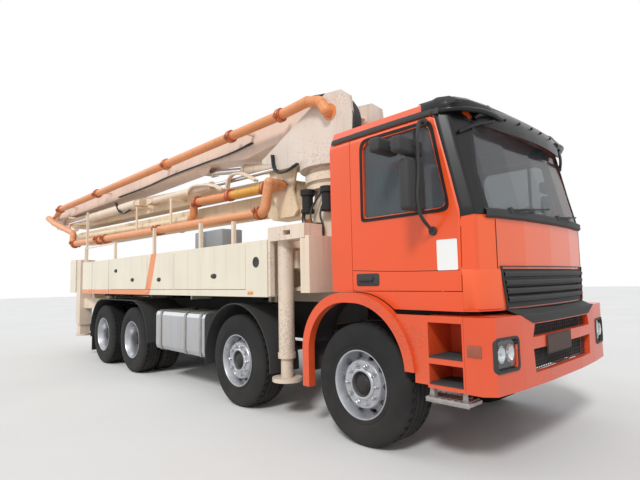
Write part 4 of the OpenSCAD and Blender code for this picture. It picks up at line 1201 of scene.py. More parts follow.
@dataclass
class Wheels:
    """Tyres, rims and hubs of the four axles, which stand for the plain CAD wheels."""

    radius: float = 0.536
    face: float = 1.215
    front_width: float = 0.385
    rear_width: float = 0.312
    twin_gap: float = 0.034
    sides: int = 80
    grooves: Flat = (0.266, 0.422)
    groove_depth: float = 0.013
    groove_half: float = 0.007
    lug_start: float = 0.045
    holes: int = 10
    dish: float = 0.040
    nut_circle: float = 0.168
    nuts: int = 10
    axles: tuple[float, ...] = (0.0, -1.950, -5.100, -6.450)

    def tyre_outline(self, width: float) -> list[Flat]:
        """The tyre's section as (radius, depth), with ribs and grooves in its tread.

        Args:
            width: the tyre's width.

        Returns:
            The outline from bead to bead.
        """
        half = [(0.284, 0.034), (0.292, 0.020), (0.300, 0.008), (0.318, 0.003), (0.335, 0.004),
                (0.338, 0.0075), (0.345, 0.003), (0.387, 0.0), (0.430, 0.0), (0.470, 0.004),
                (0.500, 0.012), (0.520, 0.024), (0.529, 0.036), (0.533, 0.048), (self.radius, 0.058)]
        low = self.radius - self.groove_depth
        for d in (width * share for share in self.grooves):
            half += [(self.radius, d - self.groove_half), (low, d - 0.004),
                     (low, d + 0.004), (self.radius, d + self.groove_half)]
        return half + [(r, width - d) for r, d in reversed(half)]

    def tyre(self, width: float) -> bpy.types.Object:
        """One tyre, with lugs cut into its shoulders.

        Args:
            width: the tyre's width.

        Returns:
            The tyre, standing inwards from depth nought.
        """
        piece = Bench.spun(self.tyre_outline(width), self.sides)
        first = width * self.grooves[0] - self.groove_half
        step = 2 * math.pi / self.sides

        def shoulder(centre: Vector, _normal: Vector) -> bool:
            """Picks every other face of the two outer ribs.

            Args:
                centre: the face's centre.
                _normal: its normal, which makes no difference.

            Returns:
                Whether it becomes a gap between lugs.
            """
            depth = min(centre.y, width - centre.y)
            turn = int(round(math.atan2(centre.z, centre.x) / step - 0.5))
            high = math.hypot(centre.x, centre.z) > self.radius - self.groove_depth / 2
            return high and self.lug_start < depth < first and turn % 2 == 0

        with Bench.editing(piece):
            Bench.choose_faces(piece, shoulder)
            bpy.ops.mesh.inset(thickness=0.004, depth=-0.010, use_individual=True)
        return piece

    def hand_holes(self, circle: float, low: float, high: float) -> bpy.types.Object:
        """The tool that cuts the oval hand holes of a rim's disc."""
        return ringed(Bench.plate(Plane.SIDE, oval(circle, 0.0, 0.021, 0.033, 18), low, high), self.holes)

    def nut_ring(self, depth: float) -> bpy.types.Object:
        """Wheel nuts with their washers, round the hub.

        Args:
            depth: where the disc's face lies.

        Returns:
            The ring of nuts.
        """
        nut = Bench.spun([(0.0, depth - 0.038), (0.009, depth - 0.038), (0.0145, depth - 0.033),
                          (0.0195, depth - 0.024), (0.0195, depth - 0.007)], 6)
        washer = Bench.spun([(0.0, depth - 0.009), (0.026, depth - 0.009), (0.028, depth - 0.005),
                             (0.028, depth + 0.002), (0.0, depth + 0.002)], 20)
        return ringed(Bench.moved(Bench.joined([nut, washer]), put((self.nut_circle, 0.0, 0.0))), self.nuts)

    def barrel(self, low: float, high: float) -> bpy.types.Object:
        """A rim's barrel with its two flanges."""
        return Bench.spun([(0.302, low + 0.006), (0.305, low + 0.014), (0.297, low + 0.026),
                           (0.290, low + 0.050),
                           (0.272, low + 0.075), (0.272, high - 0.075), (0.290, high - 0.050),
                           (0.305, high - 0.012), (0.290, high - 0.012), (0.276, high - 0.060),
                           (0.258, high - 0.085), (0.258, low + 0.085), (0.276, low + 0.056),
                           (0.283, low + 0.022), (0.293, low + 0.006)], self.sides)

    def front_rim(self) -> bpy.types.Object:
        """The front wheel's rim: barrel, disc with hand holes, hub ring and nuts.

        Returns:
            The rim.
        """
        disc = Bench.spun([(0.266, 0.118), (0.252, 0.110), (0.232, 0.092), (0.218, 0.066), (0.212, 0.048),
                           (0.206, 0.041), (0.118, 0.041), (0.118, 0.060), (0.196, 0.060), (0.202, 0.080),
                           (0.222, 0.108), (0.244, 0.128), (0.266, 0.134)], self.sides)
        Bench.cut(disc, self.hand_holes(0.238, 0.06, 0.16))
        hub = Bench.spun([(0.140, 0.044), (0.139, 0.034), (0.132, 0.026), (0.122, 0.023), (0.112, 0.026),
                          (0.108, 0.034), (0.108, 0.070), (0.140, 0.070)], self.sides)
        return Bench.joined([self.barrel(0.0, self.front_width), disc, hub, self.nut_ring(0.043)])

    def front_core(self) -> bpy.types.Object:
        """The dark bore of a front hub with the axle's end in it."""
        return Bench.spun([(0.0, 0.020), (0.040, 0.022), (0.058, 0.030), (0.066, 0.044), (0.078, 0.050),
                           (0.084, 0.062), (0.109, 0.066), (0.109, 0.120), (0.0, 0.120)], 36)

    def rear_rim(self) -> bpy.types.Object:
        """The twin wheel's rims, with the dished disc deep inside the outer one.

        Returns:
            The rims.
        """
        d = self.rear_width - self.dish
        disc = Bench.spun([(0.262, d - 0.030), (0.246, d - 0.012), (0.215, d), (0.108, d + 0.002),
                           (0.108, d + 0.022), (0.212, d + 0.020), (0.240, d + 0.010), (0.262, d)],
                          self.sides)
        Bench.cut(disc, self.hand_holes(0.226, d - 0.08, d + 0.08))
        second = self.rear_width + self.twin_gap
        return Bench.joined([self.barrel(0.0, self.rear_width), disc, self.nut_ring(d),
                             self.barrel(second, second + self.rear_width)])

    def rear_core(self) -> bpy.types.Object:
        """The rear hub that stands out of the dish."""
        d = self.rear_width - self.dish
        return Bench.spun([(0.0, 0.070), (0.060, 0.070), (0.078, 0.076), (0.086, 0.090), (0.088, 0.112),
                           (0.106, 0.118), (0.112, 0.126), (0.112, d - 0.02), (0.122, d), (0.122, d + 0.04),
                           (0.0, d + 0.04)], 48)

    def build(self) -> None:
        """Builds one wheel of each sort and copies it to its axles."""
        outer = self.tyre(self.rear_width)
        inner = Bench.copied(outer, put((0.0, self.rear_width + self.twin_gap, 0.0)))
        twins = Bench.joined([outer, inner])
        steered = (self.tyre(self.front_width), self.front_rim(), self.front_core())
        driven = (twins, self.rear_rim(), self.rear_core())
        wears = (("tyre", Finishes.rubber, 30.0), ("rim", Finishes.rim, 35.0),
                 ("hub", Finishes.hub_dark, 35.0))
        for k, x in enumerate(self.axles):
            for hand in Hand:
                tag = f"{hand.name[0].lower()}{k + 1}"
                body = f"wheel_{tag}"
                move = put(on_truck(x, hand.value * self.face, self.radius),
                           180.0 if hand is Hand.LEFT else 0.0)
                for source, (word, finish, turn) in zip(steered if k < 2 else driven, wears):
                    piece = Bench.copied(source, move)
                    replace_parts(Bench.done(piece, f"{word}_{tag}", finish, body, turn=turn), body)
        for source in (*steered, *driven):
            bpy.data.objects.remove(source)


# The cab


@dataclass
class CabSkin:
    """Seals, surrounds, handles, creases (the door's one as a line of painted shade) and the grille on the
    cab and its doors.
    """

    window: tuple[Flat, ...] = ((0.055, 2.035), (0.060, 2.660), (0.110, 2.710), (0.730, 2.710),
                                (0.775, 2.670), (0.900, 2.060), (0.870, 2.015), (0.080, 2.015))
    screen: tuple[Flat, ...] = ((-0.985, 1.972), (-0.995, 2.300), (-0.915, 2.745), (0.915, 2.745),
                                (0.995, 2.300), (0.985, 1.972))
    surround: tuple[Flat, ...] = ((-1.140, 1.930), (-1.140, 2.300), (-1.145, 2.845), (1.145, 2.845),
                                  (1.140, 2.300), (1.140, 1.930))
    grille: tuple[Flat, ...] = ((-0.860, 1.528), (0.860, 1.528), (0.800, 1.222), (-0.800, 1.222))
    roof_edge: tuple[Flat, ...] = ((0.70, 1.135), (0.82, 1.132), (0.92, 1.112), (0.985, 1.06), (1.03, 0.95),
                                   (1.06, 0.70), (1.075, 0.35))
    gutter: tuple[Flat, ...] = ((-0.34, 2.778), (0.0, 2.782), (0.45, 2.784), (0.80, 2.782), (0.872, 2.770))
    hump: tuple[Flat, ...] = ((0.66, 2.826), (0.74, 2.905), (0.84, 2.925), (0.95, 2.905), (1.02, 2.862),
                              (1.00, 2.835))
    crease: tuple[Flat, ...] = ((-0.095, 1.545), (0.3, 1.528), (0.7, 1.520), (1.0, 1.520))
    proud: float = 0.007
    band_steps: int = 14
    sheet: float = 0.004

    def walked(self, outline: Sequence[Flat], steps: int = 8) -> list[Flat]:
        """Splits each side of a closed outline into short steps.

        Args:
            outline: the corners.
            steps: steps on each side.

        Returns:
            The closed outline with all its steps.
        """
        out: list[Flat] = []
        for (a, b), (c, d) in zip(outline, [*outline[1:], outline[0]]):
            out += [(a + (c - a) * k / steps, b + (d - b) * k / steps) for k in range(steps)]
        return closed(out)

    def on_nose(self, outline: Sequence[Flat], off: float) -> list[Vector]:
        """Lays an outline of (y, z) on the cab's curved front, standing off it."""
        return [on_truck(nose_x(y, z) + off, y, z) for y, z in outline]

    def screen_surround(self) -> None:
        """Black band on the curved front round the windscreen, over the pillars."""
        outer = self.walked(self.surround, 10)
        inner = self.walked(self.screen, 10)
        rows = [self.on_nose(outer, -0.002)]
        for step in range(self.band_steps + 1):
            share = step / self.band_steps
            ring = [(p + (q - p) * share, r + (t - r) * share) for (p, r), (q, t) in zip(outer, inner)]
            rows.append(self.on_nose(ring, self.proud))
        rows.append(self.on_nose([(y * 0.970, z) for y, z in inner], 0.003))
        rows.append(self.on_nose([(y * 0.965, z) for y, z in inner], -0.004))
        Bench.done(Bench.skin(rows, self.sheet), "screen_surround", Finishes.gloss_black, "cab")

    def cowl(self) -> None:
        """Smoked band over the windscreen up to the roof, and the black one that holds the wipers."""
        edge = [*((x, -y) for x, y in self.roof_edge), (1.08, 0.0), *reversed(self.roof_edge)]
        rows = []
        for z, inward in ((2.800, 0.0), (2.835, -0.012), (2.880, -0.004), (2.912, 0.030), (2.930, 0.110)):
            rows.append([on_truck(x - inward * x, y * (1 - inward * 0.6), z) for x, y in edge])
        Bench.done(Bench.skin(rows, self.sheet), "roof_cowl", Finishes.visor, "cab")
        low = [self.on_nose([(y, z) for y in spread(1.0032, 20)], off)
               for z, off in ((1.990, 0.008), (1.975, 0.024), (1.930, 0.026), (1.915, 0.010))]
        Bench.done(Bench.skin(low, self.sheet), "wiper_cowl", Finishes.plastic, "cab")

    def wiper(self, name: str, root: Flat, tip: Flat) -> None:
        """A wiper parked along the screen's lower edge, between two places (y, z).

        Args:
            name: the piece's name.
            root: where it is hinged.
            tip: where its blade ends.
        """

        def place(share: float, off: float) -> Vector:
            """A place along the wiper, standing off the glass."""
            y, z = (a + (b - a) * share for a, b in zip(root, tip))
            return self.on_nose([(y, z)], off)[0]

        arm = Bench.tube([place(0.0, 0.012), place(0.06, 0.040), place(0.45, 0.040), place(0.62, 0.022)],
                         0.007)
        blade = Bench.tube([place(0.12, 0.014), place(0.55, 0.018), place(1.0, 0.014)], 0.008)
        boss = Bench.spun([(0.0, -0.02), (0.018, -0.02), (0.024, -0.012), (0.024, 0.016), (0.0, 0.016)], 20)
        Bench.moved(boss, put(place(0.0, 0.018), -90.0))
        Bench.done(Bench.joined([arm, blade, boss]), name, Finishes.plastic, "cab")

    def side(self, hand: Hand) -> None:
        """Dresses one side: window seal and post, door handle and roof strip.

        Args:
            hand: which side of the cab.
        """
        s, tag = hand.value, hand.name.lower()
        door, face = f"door_{tag}", s * CAB_SIDE
        wide, tight = (closed(softened(grown(self.window, by), 0.07)) for by in (0.034, -0.010))
        rows = [[on_truck(x, face + s * off, z) for x, z in ring]
                for ring, off in ((wide, 0.001), (wide, 0.006), (tight, 0.006), (tight, -0.026))]
        Bench.done(Bench.skin(rows, 0.003), f"window_seal_{tag}", Finishes.seal, door)
        post = Bench.block(fore(0.612, 0.640), (face - s * 0.040, face - s * 0.006),
                           (2.02, 2.71), 0.004)
        Bench.done(post, f"window_post_{tag}", Finishes.seal, door)
        plate = Bench.plate(Plane.SIDE, shifted(soft_box((-0.052, 0.212), (1.402, 1.513), 0.022)),
                            face - s * 0.004, face + s * 0.006, 0.003)
        grip = Bench.plate(Plane.SIDE, shifted(soft_box((-0.02, 0.150), (1.446, 1.488), 0.016)),
                           face + s * 0.002, face + s * 0.022, 0.006)
        Bench.done(Bench.joined([plate, grip]), f"door_handle_{tag}", Finishes.plastic, door)
        strip = [[on_truck(x, s * (CAB_SIDE - inward), z + lift) for x, z in self.gutter]
                 for lift, inward in ((0.0, -0.003), (0.012, -0.006), (0.040, 0.004), (0.052, 0.014))]
        hump = Bench.plate(Plane.SIDE, shifted(self.hump), s * 0.990, s * 1.118, 0.012)
        Bench.done(Bench.joined([Bench.skin(strip, 0.005), hump]), f"roof_strip_{tag}", Finishes.plastic,
                   "cab")

    def sticker(self) -> None:
        """A blank white sticker on the right door."""
        outline = shifted(soft_box((0.805, 0.985), (1.52, 1.76), 0.012))
        piece = Bench.plate(Plane.SIDE, outline, -CAB_SIDE, -CAB_SIDE - 0.0015)
        Bench.done(piece, "door_sticker", Finishes.sticker, "door_right")

    def grille_frame(self) -> None:
        """A raised rim round the grille, its broad bars and the sheet behind their foot."""
        outer, inner = (self.walked(grown(self.grille, by), 6) for by in (0.016, -0.012))
        rims = ((outer, 0.001), (outer, 0.012), (inner, 0.016), (inner, 0.004))
        parts = [Bench.skin([self.on_nose(ring, off) for ring, off in rims], self.sheet)]
        half, foot = self.grille[2]
        for z in (1.284 + k * 0.0655 for k in range(4)):
            ys = spread(half + (z - foot) * 0.19, 16)
            shape = ((-0.022, 0.010), (-0.016, 0.022), (0.006, 0.026), (0.018, 0.018), (0.020, 0.006))
            parts.append(Bench.skin([self.on_nose([(y, z + up) for y in ys], off) for up, off in shape],
                                    self.sheet))
        back = [self.on_nose([(y, z) for y in spread(half, 16)], 0.004) for z in (foot, 1.275)]
        parts.append(Bench.skin(back, self.sheet))
        Bench.done(Bench.joined(parts), "grille_bars", Finishes.plastic, "cab")

    def creases(self, hand: Hand) -> None:
        """The raised corner panel beside the grille, the nose corner's seam and a near-black line that paints
        the shade of the door's pressed crease.

        Args:
            hand: which side of the cab.
        """
        s, tag = hand.value, hand.name.lower()
        ys = (0.880, 0.920, 0.980, 1.040, 1.085, 1.120, 1.146)
        shape = ((1.216, 0.000), (1.222, 0.008), (1.500, 0.008), (1.520, 0.000))
        rows = [[on_truck(nose_x(y, z) + off, s * y, z) for y in ys] for z, off in shape]
        Bench.done(Bench.skin(rows, 0.003), f"corner_panel_{tag}", Finishes.front, "cab")
        seam = [on_truck(nose_x(0.905, z) + 0.0005, s * 0.905, z) for z in (1.525, 1.65, 1.78, 1.905)]
        Bench.done(Bench.tube(seam, 0.0035, False, 1), f"nose_seam_{tag}", Finishes.seal, "cab")
        # The door's pressed crease is drawn as a thin near-black line in the cab paint: painted shade in the
        # crease.
        line = [on_truck(x, s * (CAB_SIDE - 0.001), z) for x, z in self.crease]
        Bench.done(Bench.tube(line, 0.003, True, 1), f"door_crease_{tag}", Finishes.seal, f"door_{tag}",
                   "cab_paint")

    def build(self) -> None:
        """Builds everything on the cab's skin."""
        self.screen_surround()
        self.cowl()
        self.wiper("wiper_1", (-0.72, 1.985), (0.02, 2.055))
        self.wiper("wiper_2", (0.16, 1.985), (0.86, 2.050))
        for hand in Hand:
            self.side(hand)
            self.creases(hand)
        self.sticker()
        self.grille_frame()


@dataclass
class SunVisor:
    """A curved shell over the windscreen, open at its ends, which stands for the CAD visor."""

    half_width: float = 0.86
    shell_half: float = 0.60
    thickness: float = 0.007
    back: float = 0.93
    plan: tuple[Flat, ...] = ((0.0, 1.172), (0.3, 1.165), (0.6, 1.130), (0.75, 1.090), (0.86, 1.040))
    shape: tuple[Flat, ...] = ((0.0, 2.930), (0.3, 2.924), (0.62, 2.886), (0.86, 2.830), (1.0, 2.765),
                               (0.99, 2.700), (0.96, 2.672))
    middle: float = 2.72
    lip_run: float = 0.04
    arm: tuple[Point, ...] = ((0.80, 1.140, 2.795), (0.95, 1.095, 2.800), (1.06, 0.93, 2.800),
                              (1.115, 0.76, 2.790),
                              (1.125, 0.60, 2.775))
    strut: tuple[Point, ...] = ((0.990, 1.060, 2.610), (1.050, 0.920, 2.680), (1.110, 0.70, 2.745))
    rivets: tuple[Point, ...] = ((1.178, 0.10, 2.790), (1.172, 0.34, 2.786), (1.145, 0.55, 2.780))

    def section(self, y: float) -> list[Vector]:
        """The visor's section at side place y: from the roof over the top down to its lip.

        Args:
            y: the side place.

        Returns:
            The section, from back to lip.
        """
        front = along(self.plan, abs(y))
        narrow = max(0.0, abs(y) - self.shell_half) / (self.half_width - self.shell_half)
        back = self.back + (front - self.back - self.lip_run) * min(1.0, narrow * 2.5)
        squeeze = 1.0 - 0.75 * narrow ** 1.5
        return [on_truck(back + (front - back) * share, y, self.middle + (z - self.middle) * squeeze)
                for share, z in self.shape]

    def build(self) -> None:
        """Builds the shell, its end arms, struts and rivets."""
        ys = [self.half_width * math.sin(math.pi / 2 * k / 14) for k in range(-14, 15)]
        parts = [Bench.skin([self.section(y) for y in ys], self.thickness)]
        for s in (-1, 1):
            for line, radius in ((self.arm, 0.022), (self.strut, 0.015)):
                parts.append(Bench.tube([on_truck(x, s * y, z) for x, y, z in line], radius, True, 4))
            for x, y, z in self.rivets:
                rivet = Bench.spun([(0.0, -0.006), (0.008, -0.005), (0.012, 0.0), (0.012, 0.012),
                                    (0.0, 0.012)], 12)
                parts.append(Bench.moved(rivet, put(on_truck(x, s * y, z), 90.0)))
        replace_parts(Bench.done(Bench.joined(parts), "visor_shell", Finishes.visor, "cab"), "sun_visor")


@dataclass
class Mirrors:
    """Rear-view, wide-angle and kerb mirrors on tube arms, which stand for the CAD mirrors."""

    tube: float = 0.014
    arm: tuple[Point, ...] = ((0.735, 1.172, 2.730), (0.800, 1.330, 2.660), (0.790, 1.340, 2.30),
                              (0.785, 1.340, 1.98), (0.780, 1.172, 1.835))
    lip: float = 0.03
    recess: float = 0.010
    glass_edge: float = 0.020

    def head(self, x: Flat, y: Flat, z: Flat) -> list[bpy.types.Object]:
        """One housing and its glass, on the right side.

        Args:
            x: rear and front end.
            y: outer and inner end.
            z: lower and upper end.

        Returns:
            The housing and the glass.
        """
        x = fore(*x)
        shell = Bench.block(x, y, z, self.lip, 4)
        with Bench.editing(shell):
            Bench.choose_faces(shell, lambda centre, normal: normal.x < -0.9)
            bpy.ops.mesh.inset(thickness=0.008)
            bpy.ops.mesh.extrude_region_move(TRANSFORM_OT_translate={"value": (self.recess, 0.0, 0.0)})
        u, v = ((low + self.glass_edge, high - self.glass_edge) for low, high in (y, z))
        return [shell, Bench.plate(Plane.FRONT, soft_box(u, v, 0.016), x[0] + 0.002, x[0] + 0.009)]

    def build(self) -> None:
        """Builds both sides. Only the right one has a kerb mirror."""
        heads = [self.head((0.690, 0.780), (-1.470, -1.228), (1.985, 2.385)),
                 self.head((0.680, 0.775), (-1.555, -1.228), (2.420, 2.550))]
        kerb = self.head((0.430, 0.540), (-1.515, -1.232), (2.480, 2.600))
        rods = [Bench.tube([on_truck(x, -y, z) for x, y, z in self.arm], self.tube)]
        for z in (2.18, 2.49):
            rods.append(Bench.tube([on_truck(0.795, -1.335, z), on_truck(0.745, -1.345, z)], 0.013, False))
        for x, _, z in (self.arm[0], self.arm[-1]):
            foot = Bench.spun([(0.0, -0.022), (0.030, -0.022), (0.036, -0.014), (0.036, -0.002),
                               (0.0, -0.002)], 24)
            rods.append(Bench.moved(foot, Matrix.Translation(on_truck(x, -CAB_SIDE, z))))
        kerb_rod = Bench.tube([on_truck(0.520, -1.370, 2.540), on_truck(0.700, -1.390, 2.520)], 0.012, False)
        dark = [heads[0][0], heads[1][0], *rods]
        panes = [heads[0][1], heads[1][1]]
        left = [[Bench.copied(piece, mirrored()) for piece in group] for group in (dark, panes)]
        right = [[*dark, kerb[0], kerb_rod], [*panes, kerb[1]]]
        for tag, (shells, glasses) in (("left", left), ("right", right)):
            body = f"door_{tag}"
            housing = Bench.done(Bench.joined(shells), f"mirror_heads_{tag}", Finishes.plastic, body)
            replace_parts(housing, f"mirror_{tag}")
            Bench.done(Bench.joined(glasses), f"mirror_glass_{tag}", Finishes.mirror, body)


@dataclass
class FrontEnd:
    """Headlamps, markers, meshes, the blank number plate and the steps."""

    lamp_y: Flat = (0.885, 1.158)
    lamp_z: Flat = (0.792, 1.006)
    lamp_back: float = 1.215
    cups: tuple[Flat, ...] = ((0.955, 0.064), (1.085, 0.058))
    mesh_x: float = 1.262
    mesh_bar: float = 0.006
    plate_x: tuple[float, ...] = (1.321, 1.328, 1.3305)
    step_x: Flat = (0.738, 1.022)

    def on_bumper(self, outline: Sequence[Flat], off: float) -> list[Vector]:
        """Lays an outline of (y, z) on the bumper's curved face, standing off it."""
        return [on_truck(along(BUMPER_PLAN, abs(y)) + off, y, z) for y, z in outline]

    def lamp(self, hand: Hand) -> None:
        """One headlamp: a dark bowl, two reflectors, a clear lens and its trim.

        Args:
            hand: the side it is on.
        """
        s, tag = hand.value, hand.name.lower()
        outline = [(s * y, z) for y, z in soft_box(self.lamp_y, self.lamp_z, 0.030)]
        bowl = Bench.plate(Plane.FRONT, outline, *fore(self.lamp_back, self.lamp_back + 0.012), 0.002)
        Bench.done(bowl, f"lamp_bowl_{tag}", Finishes.plastic)
        parts = []
        for y, r in self.cups:
            cup = Bench.spun([(r, -0.030), (r + 0.003, -0.030), (r + 0.003, 0.004), (0.0, 0.004), (0.0, 0.0),
                              (r * 0.30, -0.001), (r * 0.62, -0.007), (r * 0.86, -0.017)], 32)
            bulb = Bench.spun([(0.0, -0.028), (0.008, -0.026), (0.011, -0.018), (0.011, 0.0), (0.0, 0.0)], 16)
            parts.append(Bench.moved(Bench.joined([cup, bulb]), put(on_truck(1.232, s * y, 0.905), 90.0)))
        Bench.done(Bench.joined(parts), f"lamp_reflectors_{tag}", Finishes.reflector)
        (a, b), (c, d) = self.lamp_y, self.lamp_z
        ys = [s * (a + 0.003 + k * 0.0445) for k in range(7)]
        shape = ((c + 0.002, -0.018), (c + 0.03, -0.012), (0.90, -0.012), (d - 0.03, -0.012),
                 (d - 0.002, -0.018))
        lens = Bench.skin([self.on_bumper([(y, z) for y in ys], off) for z, off in shape], 0.004)
        Bench.done(lens, f"lamp_lens_{tag}", Finishes.lens)
        rows = []
        for by, off in ((0.018, 0.0), (0.016, 0.007), (0.002, 0.007), (0.002, -0.055)):
            ring = closed(soft_box((a - by, b + by), (c - by, d + by), 0.036))
            rows.append(self.on_bumper([(s * y, z) for y, z in ring], off))
        Bench.done(Bench.skin(rows, 0.004), f"lamp_trim_{tag}", Finishes.plastic)
        marker = Bench.block(fore(1.072, 1.186), (s * 1.222, s * 1.234), (0.888, 0.972), 0.004)
        Bench.done(marker, f"side_marker_{tag}", Finishes.dark_amber)

    def mesh_panel(self, name: str, half: float, z: Flat) -> None:
        """A dark lattice behind a slot of the bumper.

        Args:
            name: the piece's name.
            half: half its width.
            z: its lower and upper edge.
        """
        bar, x = self.mesh_bar, self.mesh_x
        count, rows = int(half * 2 / 0.045), int((z[1] - z[0]) / 0.030)
        upright = Bench.block(fore(x, x + bar), (-half, -half + bar), z, 0.001, 1)
        level = Bench.block(fore(x - 0.002, x - 0.002 + bar), (-half, half), (z[0], z[0] + bar), 0.001, 1)
        bars = [rowed(upright, count, (0.0, half * 2 / count, 0.0)),
                rowed(level, rows + 1, (0.0, 0.0, (z[1] - z[0] - bar) / rows))]
        Bench.done(Bench.joined(bars), name, Finishes.plastic)

    def plate(self) -> None:
        """The blank number plate in its holder."""
        a, b, c = fore(*self.plate_x)
        holder = Bench.plate(Plane.FRONT, soft_box((-0.425, 0.095), (0.835, 0.990), 0.012), a, b, 0.002)
        Bench.done(holder, "plate_holder", Finishes.plastic)
        sheet = Bench.plate(Plane.FRONT, soft_box((-0.415, 0.085), (0.848, 0.980), 0.010), b, c)
        Bench.done(sheet, "blank_plate", Finishes.plate_brown)

    def apron(self) -> None:
        """The black apron between grille and bumper, its bars and the board behind the meshes."""

        def across(z: float, off: float, share: float) -> list[Vector]:
            """A line across the apron at height z, as wide as a share of it."""
            return self.on_bumper([(y * share, z) for y in spread(0.76, 20)], off)

        shape = ((1.098, 0.001, 0.82), (1.102, 0.004, 0.84), (1.172, 0.004, 1.08), (1.176, -0.03, 1.08),
                 (1.215, -0.11, 1.10))
        bars = [Bench.skin([across(*line) for line in shape], 0.004)]
        for z, share in ((1.116, 0.86), (1.134, 0.92), (1.152, 0.98)):
            bars.append(Bench.tube(across(z, 0.005, share), 0.004, False, 1))
        bars.append(Bench.block(fore(1.205, 1.213), (-0.64, 0.64), (0.715, 1.092), 0.002, 1))
        Bench.done(Bench.joined(bars), "bumper_apron", Finishes.plastic)

    def steps(self, hand: Hand) -> None:
        """Rubber treads on the steps and the slatted galvanised one below.

        Args:
            hand: the side they are on.
        """
        s, tag = hand.value, hand.name.lower()
        treads = []
        for z in (0.852, 0.652):
            pad = Bench.block(fore(*self.step_x), sorted((s * 1.222, s * 0.90)), (z, z + 0.008), 0.002)
            rib = Bench.block(fore(*self.step_x), sorted((s * 1.218, s * 1.206)), (z + 0.006, z + 0.013),
                              0.002, 1)
            treads += [pad, rowed(rib, 9, (0.0, -s * 0.034, 0.0))]
        Bench.done(Bench.joined(treads), f"step_treads_{tag}", Finishes.plastic)
        grate = [Bench.block(fore(0.694, 1.066), sorted((s * 1.219, s * 1.211)), (0.514, 0.552), 0.003)]
        for x in (0.704 + k * 0.054 for k in range(7)):
            grate.append(Bench.block(fore(x, x + 0.012), sorted((s * 1.212, s * 1.024)), (0.544, 0.556),
                                     0.002, 1))
        for x in (0.728, 1.012):
            ear = shifted([(x - 0.02, 0.54), (x + 0.03, 0.54), (x + 0.022, 0.64), (x - 0.004, 0.64)])
            grate.append(Bench.plate(Plane.SIDE, ear, s * 1.182, s * 1.188, 0.001))
        Bench.done(Bench.joined(grate), f"low_step_{tag}", Finishes.zinc)

    def build(self) -> None:
        """Builds the front end."""
        for hand in Hand:
            self.lamp(hand)
            self.steps(hand)
        self.mesh_panel("upper_mesh", 0.60, (0.992, 1.088))
        self.mesh_panel("lower_mesh", 0.62, (0.722, 0.898))
        self.plate()
        self.apron()


# The boom


@dataclass
class PipeLine:
    """Couplings of the delivery pipe with their ears and bolts, and the pins' covers."""

    pipe: float = 0.068
    top: tuple[float, ...] = (-8.568, -6.456, -3.603, -1.749, -0.661)
    low: tuple[float, ...] = (-7.38, -6.10, -5.80, -3.70, -1.00)
    middle: tuple[float, ...] = (-1.15, -1.96, -2.85)
    far: tuple[float, ...] = (-7.9, -4.7, -1.6)
    ear: float = 0.016
    bolts: int = 6
    bolt_circle: float = 0.74

    def coupling(self) -> bpy.types.Object:
        """A two-part pipe coupling about the y axis, with its hinge and bolt ears.

        Returns:
            The coupling about the origin.
        """
        b, r = self.pipe - 0.004, self.pipe + 0.026
        parts = [Bench.spun([(b, -0.036), (r - 0.006, -0.036), (r, -0.028), (r, -0.012), (r - 0.008, -0.008),
                             (r - 0.008, 0.008), (r, 0.012), (r, 0.028), (r - 0.006, 0.036), (b, 0.036)], 32)]
        for x in (-r - self.ear, r + self.ear):
            parts.append(Bench.block((x - 0.020, x + 0.020), (-0.028, 0.028), (-0.022, 0.022), 0.005))
            bolt = Bench.spun([(0.0, -0.044), (0.011, -0.044), (0.013, -0.038), (0.013, 0.038),
                               (0.009, 0.046),
                               (0.0, 0.046)], 6)
            parts.append(Bench.moved(bolt, put((x, 0.0, 0.0), 90.0, "X")))
        return Bench.joined(parts)

    def row(self, number: int, middles: Sequence[Vector], way: Vector, turn: float) -> None:
        """Sets couplings along one arm's pipe.

        Args:
            number: the arm's number.
            middles: the couplings' middles.
            way: the pipe's direction.
            turn: how far the ears are turned about the pipe, in degrees.
        """
        model = self.coupling()
        face = way.to_track_quat("Y", "Z").to_matrix().to_4x4() @ Matrix.Rotation(math.radians(turn), 4, "Y")
        parts = [Bench.copied(model, Matrix.Translation(middle) @ face) for middle in middles]
        bpy.data.objects.remove(model)
        Bench.done(Bench.joined(parts), f"couplings_{number}", Finishes.coupling, f"arm_{number}")

    def pin_cap(self, name: str, body: str, middle: Vector, radius: float) -> None:
        """A round cover with its bolts on a knuckle's pin.

        Args:
            name: the piece's name.
            body: the arm it rides on.
            middle: the middle of its outer face.
            radius: its radius.
        """
        cap = Bench.spun([(0.0, 0.0), (radius * 0.5, 0.0), (radius * 0.55, 0.006), (radius * 0.9, 0.006),
                          (radius, 0.014), (radius, 0.05), (0.0, 0.05)], 32)
        bolt = Bench.spun([(0.0, -0.006), (0.009, -0.006), (0.010, 0.0), (0.010, 0.012), (0.0, 0.012)], 6)
        bolts = ringed(Bench.moved(bolt, put((radius * self.bolt_circle, 0.0, 0.0))), self.bolts)
        move = put(middle, math.degrees(BOOM_YAW))
        Bench.done(Bench.moved(Bench.joined([cap, bolts]), move), name, Finishes.turret, body)

    def build(self) -> None:
        """Builds the couplings and covers."""
        level = on_boom(1.0, 0.0, 0.0) - on_boom(0.0, 0.0, 0.0)
        top = [on_boom(x, -0.425, 3.333 + 0.04553 * (x + 8.6)) for x in self.top]
        self.row(1, top, level + Vector((0.0, 0.0, 0.0455)), 20.0)
        self.row(2, [on_boom(x, -0.520, 2.389) for x in self.low], level, -15.0)
        self.row(3, [on_boom(x, -0.285, 2.780 - 0.0116 * (x + 0.8)) for x in self.middle], level, 35.0)
        self.row(4, [on_boom(x, 0.560, 2.585) for x in self.far], level, 0.0)
        self.pin_cap("foot_cover", "turret", on_boom(0.150, -0.352, 3.550), 0.13)
        self.pin_cap("front_knuckle_cover", "arm_3", on_boom(-0.800, -0.232, 2.780), 0.10)


